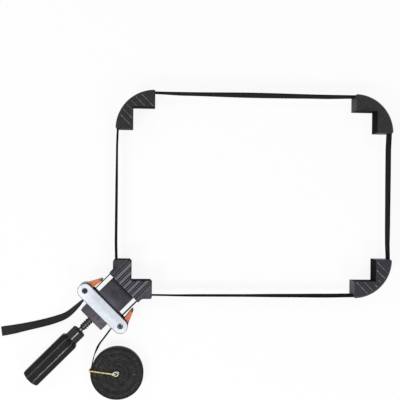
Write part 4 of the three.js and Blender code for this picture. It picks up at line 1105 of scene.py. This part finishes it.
def spindle():
    angles = np.linspace(0, 2 * math.pi, SPINDLE_SIDES + 1)[:-1]
    circle = on_circle(angles)
    thread_rear = HANDLE_FRONT + NECK_LENGTH
    neck = (HANDLE_FRONT - NECK_INSIDE, thread_rear - 0.5)
    rings = [(place, circle * NECK_RADIUS) for place in neck]
    for place in np.arange(thread_rear, THREAD_FRONT, THREAD_STEP):
        rings.append((place, circle * (THREAD_CORE + thread_height(place, angles))[:, None]))
    shank = [(THREAD_FRONT, THREAD_CORE), (SPINDLE_SHOULDER - SHOULDER_CHAMFER, SHANK_RADIUS),
             (SPINDLE_SHOULDER, SHANK_RADIUS - SHOULDER_CHAMFER), (SPINDLE_SHOULDER, TIP_RADIUS),
             (SPINDLE_TIP - TIP_CHAMFER, TIP_RADIUS), (SPINDLE_TIP, TIP_RADIUS - TIP_CHAMFER)]
    rings += [(place, circle * radius) for place, radius in shank]
    rings_piece("spindle_thread", rings, "spindle", "spindle_steel", ["spindle"], smooth_degrees=50)


spindle()

# Hidden pieces keep their CAD shape
CARRIED = {
    "thrust_plate": "bright_steel", "spindle_nut": "bright_steel", "retaining_clip": "bright_steel",
    "cam_bush_left": "bright_steel", "cam_bush_right": "bright_steel",
    "band_anvil_left": "black_steel", "band_anvil_right": "black_steel",
}
for node, material in CARRIED.items():
    mesh = frame["nodes"][node].data
    mesh.materials.clear()
    mesh.materials.append(MATERIALS[material])


# Floor, lamps and world. The camera, shiny surfaces and glass see the floor and the sky as white
FLOOR_HALF_SIZE = 6.0
FLOOR_DROP = 0.15
FLOOR_WHITE = 0.9
SKY_LIGHT = 0.25
SKY_WHITE = 1.0


def floor():
    size, z = FLOOR_HALF_SIZE, -FLOOR_DROP * MM
    corners = [(-size, -size, z), (size, -size, z), (size, size, z), (-size, size, z)]
    mesh = bpy.data.meshes.new("floor")
    mesh.from_pydata(corners, [], [(0, 1, 2, 3)])
    made = bpy.data.objects.new("floor", mesh)
    bpy.context.scene.collection.objects.link(made)
    g = painted("floor", Base_Color=(1, 1, 1, 1), Roughness=0.9, Specular_IOR_Level=0.1)
    white = g.node("ShaderNodeEmission")
    share = g.product(g.looked_at(), FLOOR_WHITE)
    mixed = g.node("ShaderNodeMixShader", {0: share, 1: g.shader.outputs[0], 2: white})
    g.put(mixed, g.tree.nodes["Material Output"].inputs[0])
    mesh.materials.append(g.owner)


def world():
    g = Graph(bpy.data.worlds.new("world"), "Background", Color=(1, 1, 1, 1))
    g.set(Strength=g.blend(g.looked_at(), SKY_LIGHT, SKY_WHITE))
    bpy.context.scene.world = g.owner


def lamp(name, place, aim, width, height, power, along=None, glossy=True, diffuse=True):
    """A rectangular lamp. Where along is given, its height lies along that direction."""
    data = bpy.data.lights.new(name, "AREA")
    data.shape = "RECTANGLE"
    data.size, data.size_y, data.energy = width, height, power
    made = bpy.data.objects.new(name, data)
    back = (Vector(place) - Vector(aim)).normalized()
    upward = Vector(along or (0, 0, 1))
    across = upward.cross(back).normalized()
    upward = back.cross(across)
    turn = Matrix((across, upward, back)).transposed().to_4x4()
    made.matrix_world = Matrix.Translation(place) @ turn
    made.visible_glossy = glossy
    made.visible_diffuse = diffuse
    bpy.context.scene.collection.objects.link(made)


MIDDLE = (0.12, 0.07, 0.0)
GRIP_MIDDLE = (-0.12, -0.12, 0.015)
SCREW_WAY = (TURN, TURN, 0)
floor()
world()
lamp("key", (-0.9, -1.1, 1.3), MIDDLE, 0.5, 0.5, 17, glossy=False)
lamp("right", (0.9, -1.2, 1.1), MIDDLE, 0.6, 0.6, 10, glossy=False)
lamp("left", (-1.26, 0.5, 1.1), MIDDLE, 0.6, 0.6, 6.5, glossy=False)
lamp("fill", (0.9, 1.3, 1.3), MIDDLE, 0.6, 0.6, 6.5, glossy=False)
lamp("strip", (-0.223, -0.545, 1.5), GRIP_MIDDLE, 0.44, 0.3, 8.3, SCREW_WAY, diffuse=False)
bpy.context.scene.view_settings.view_transform = "Standard"
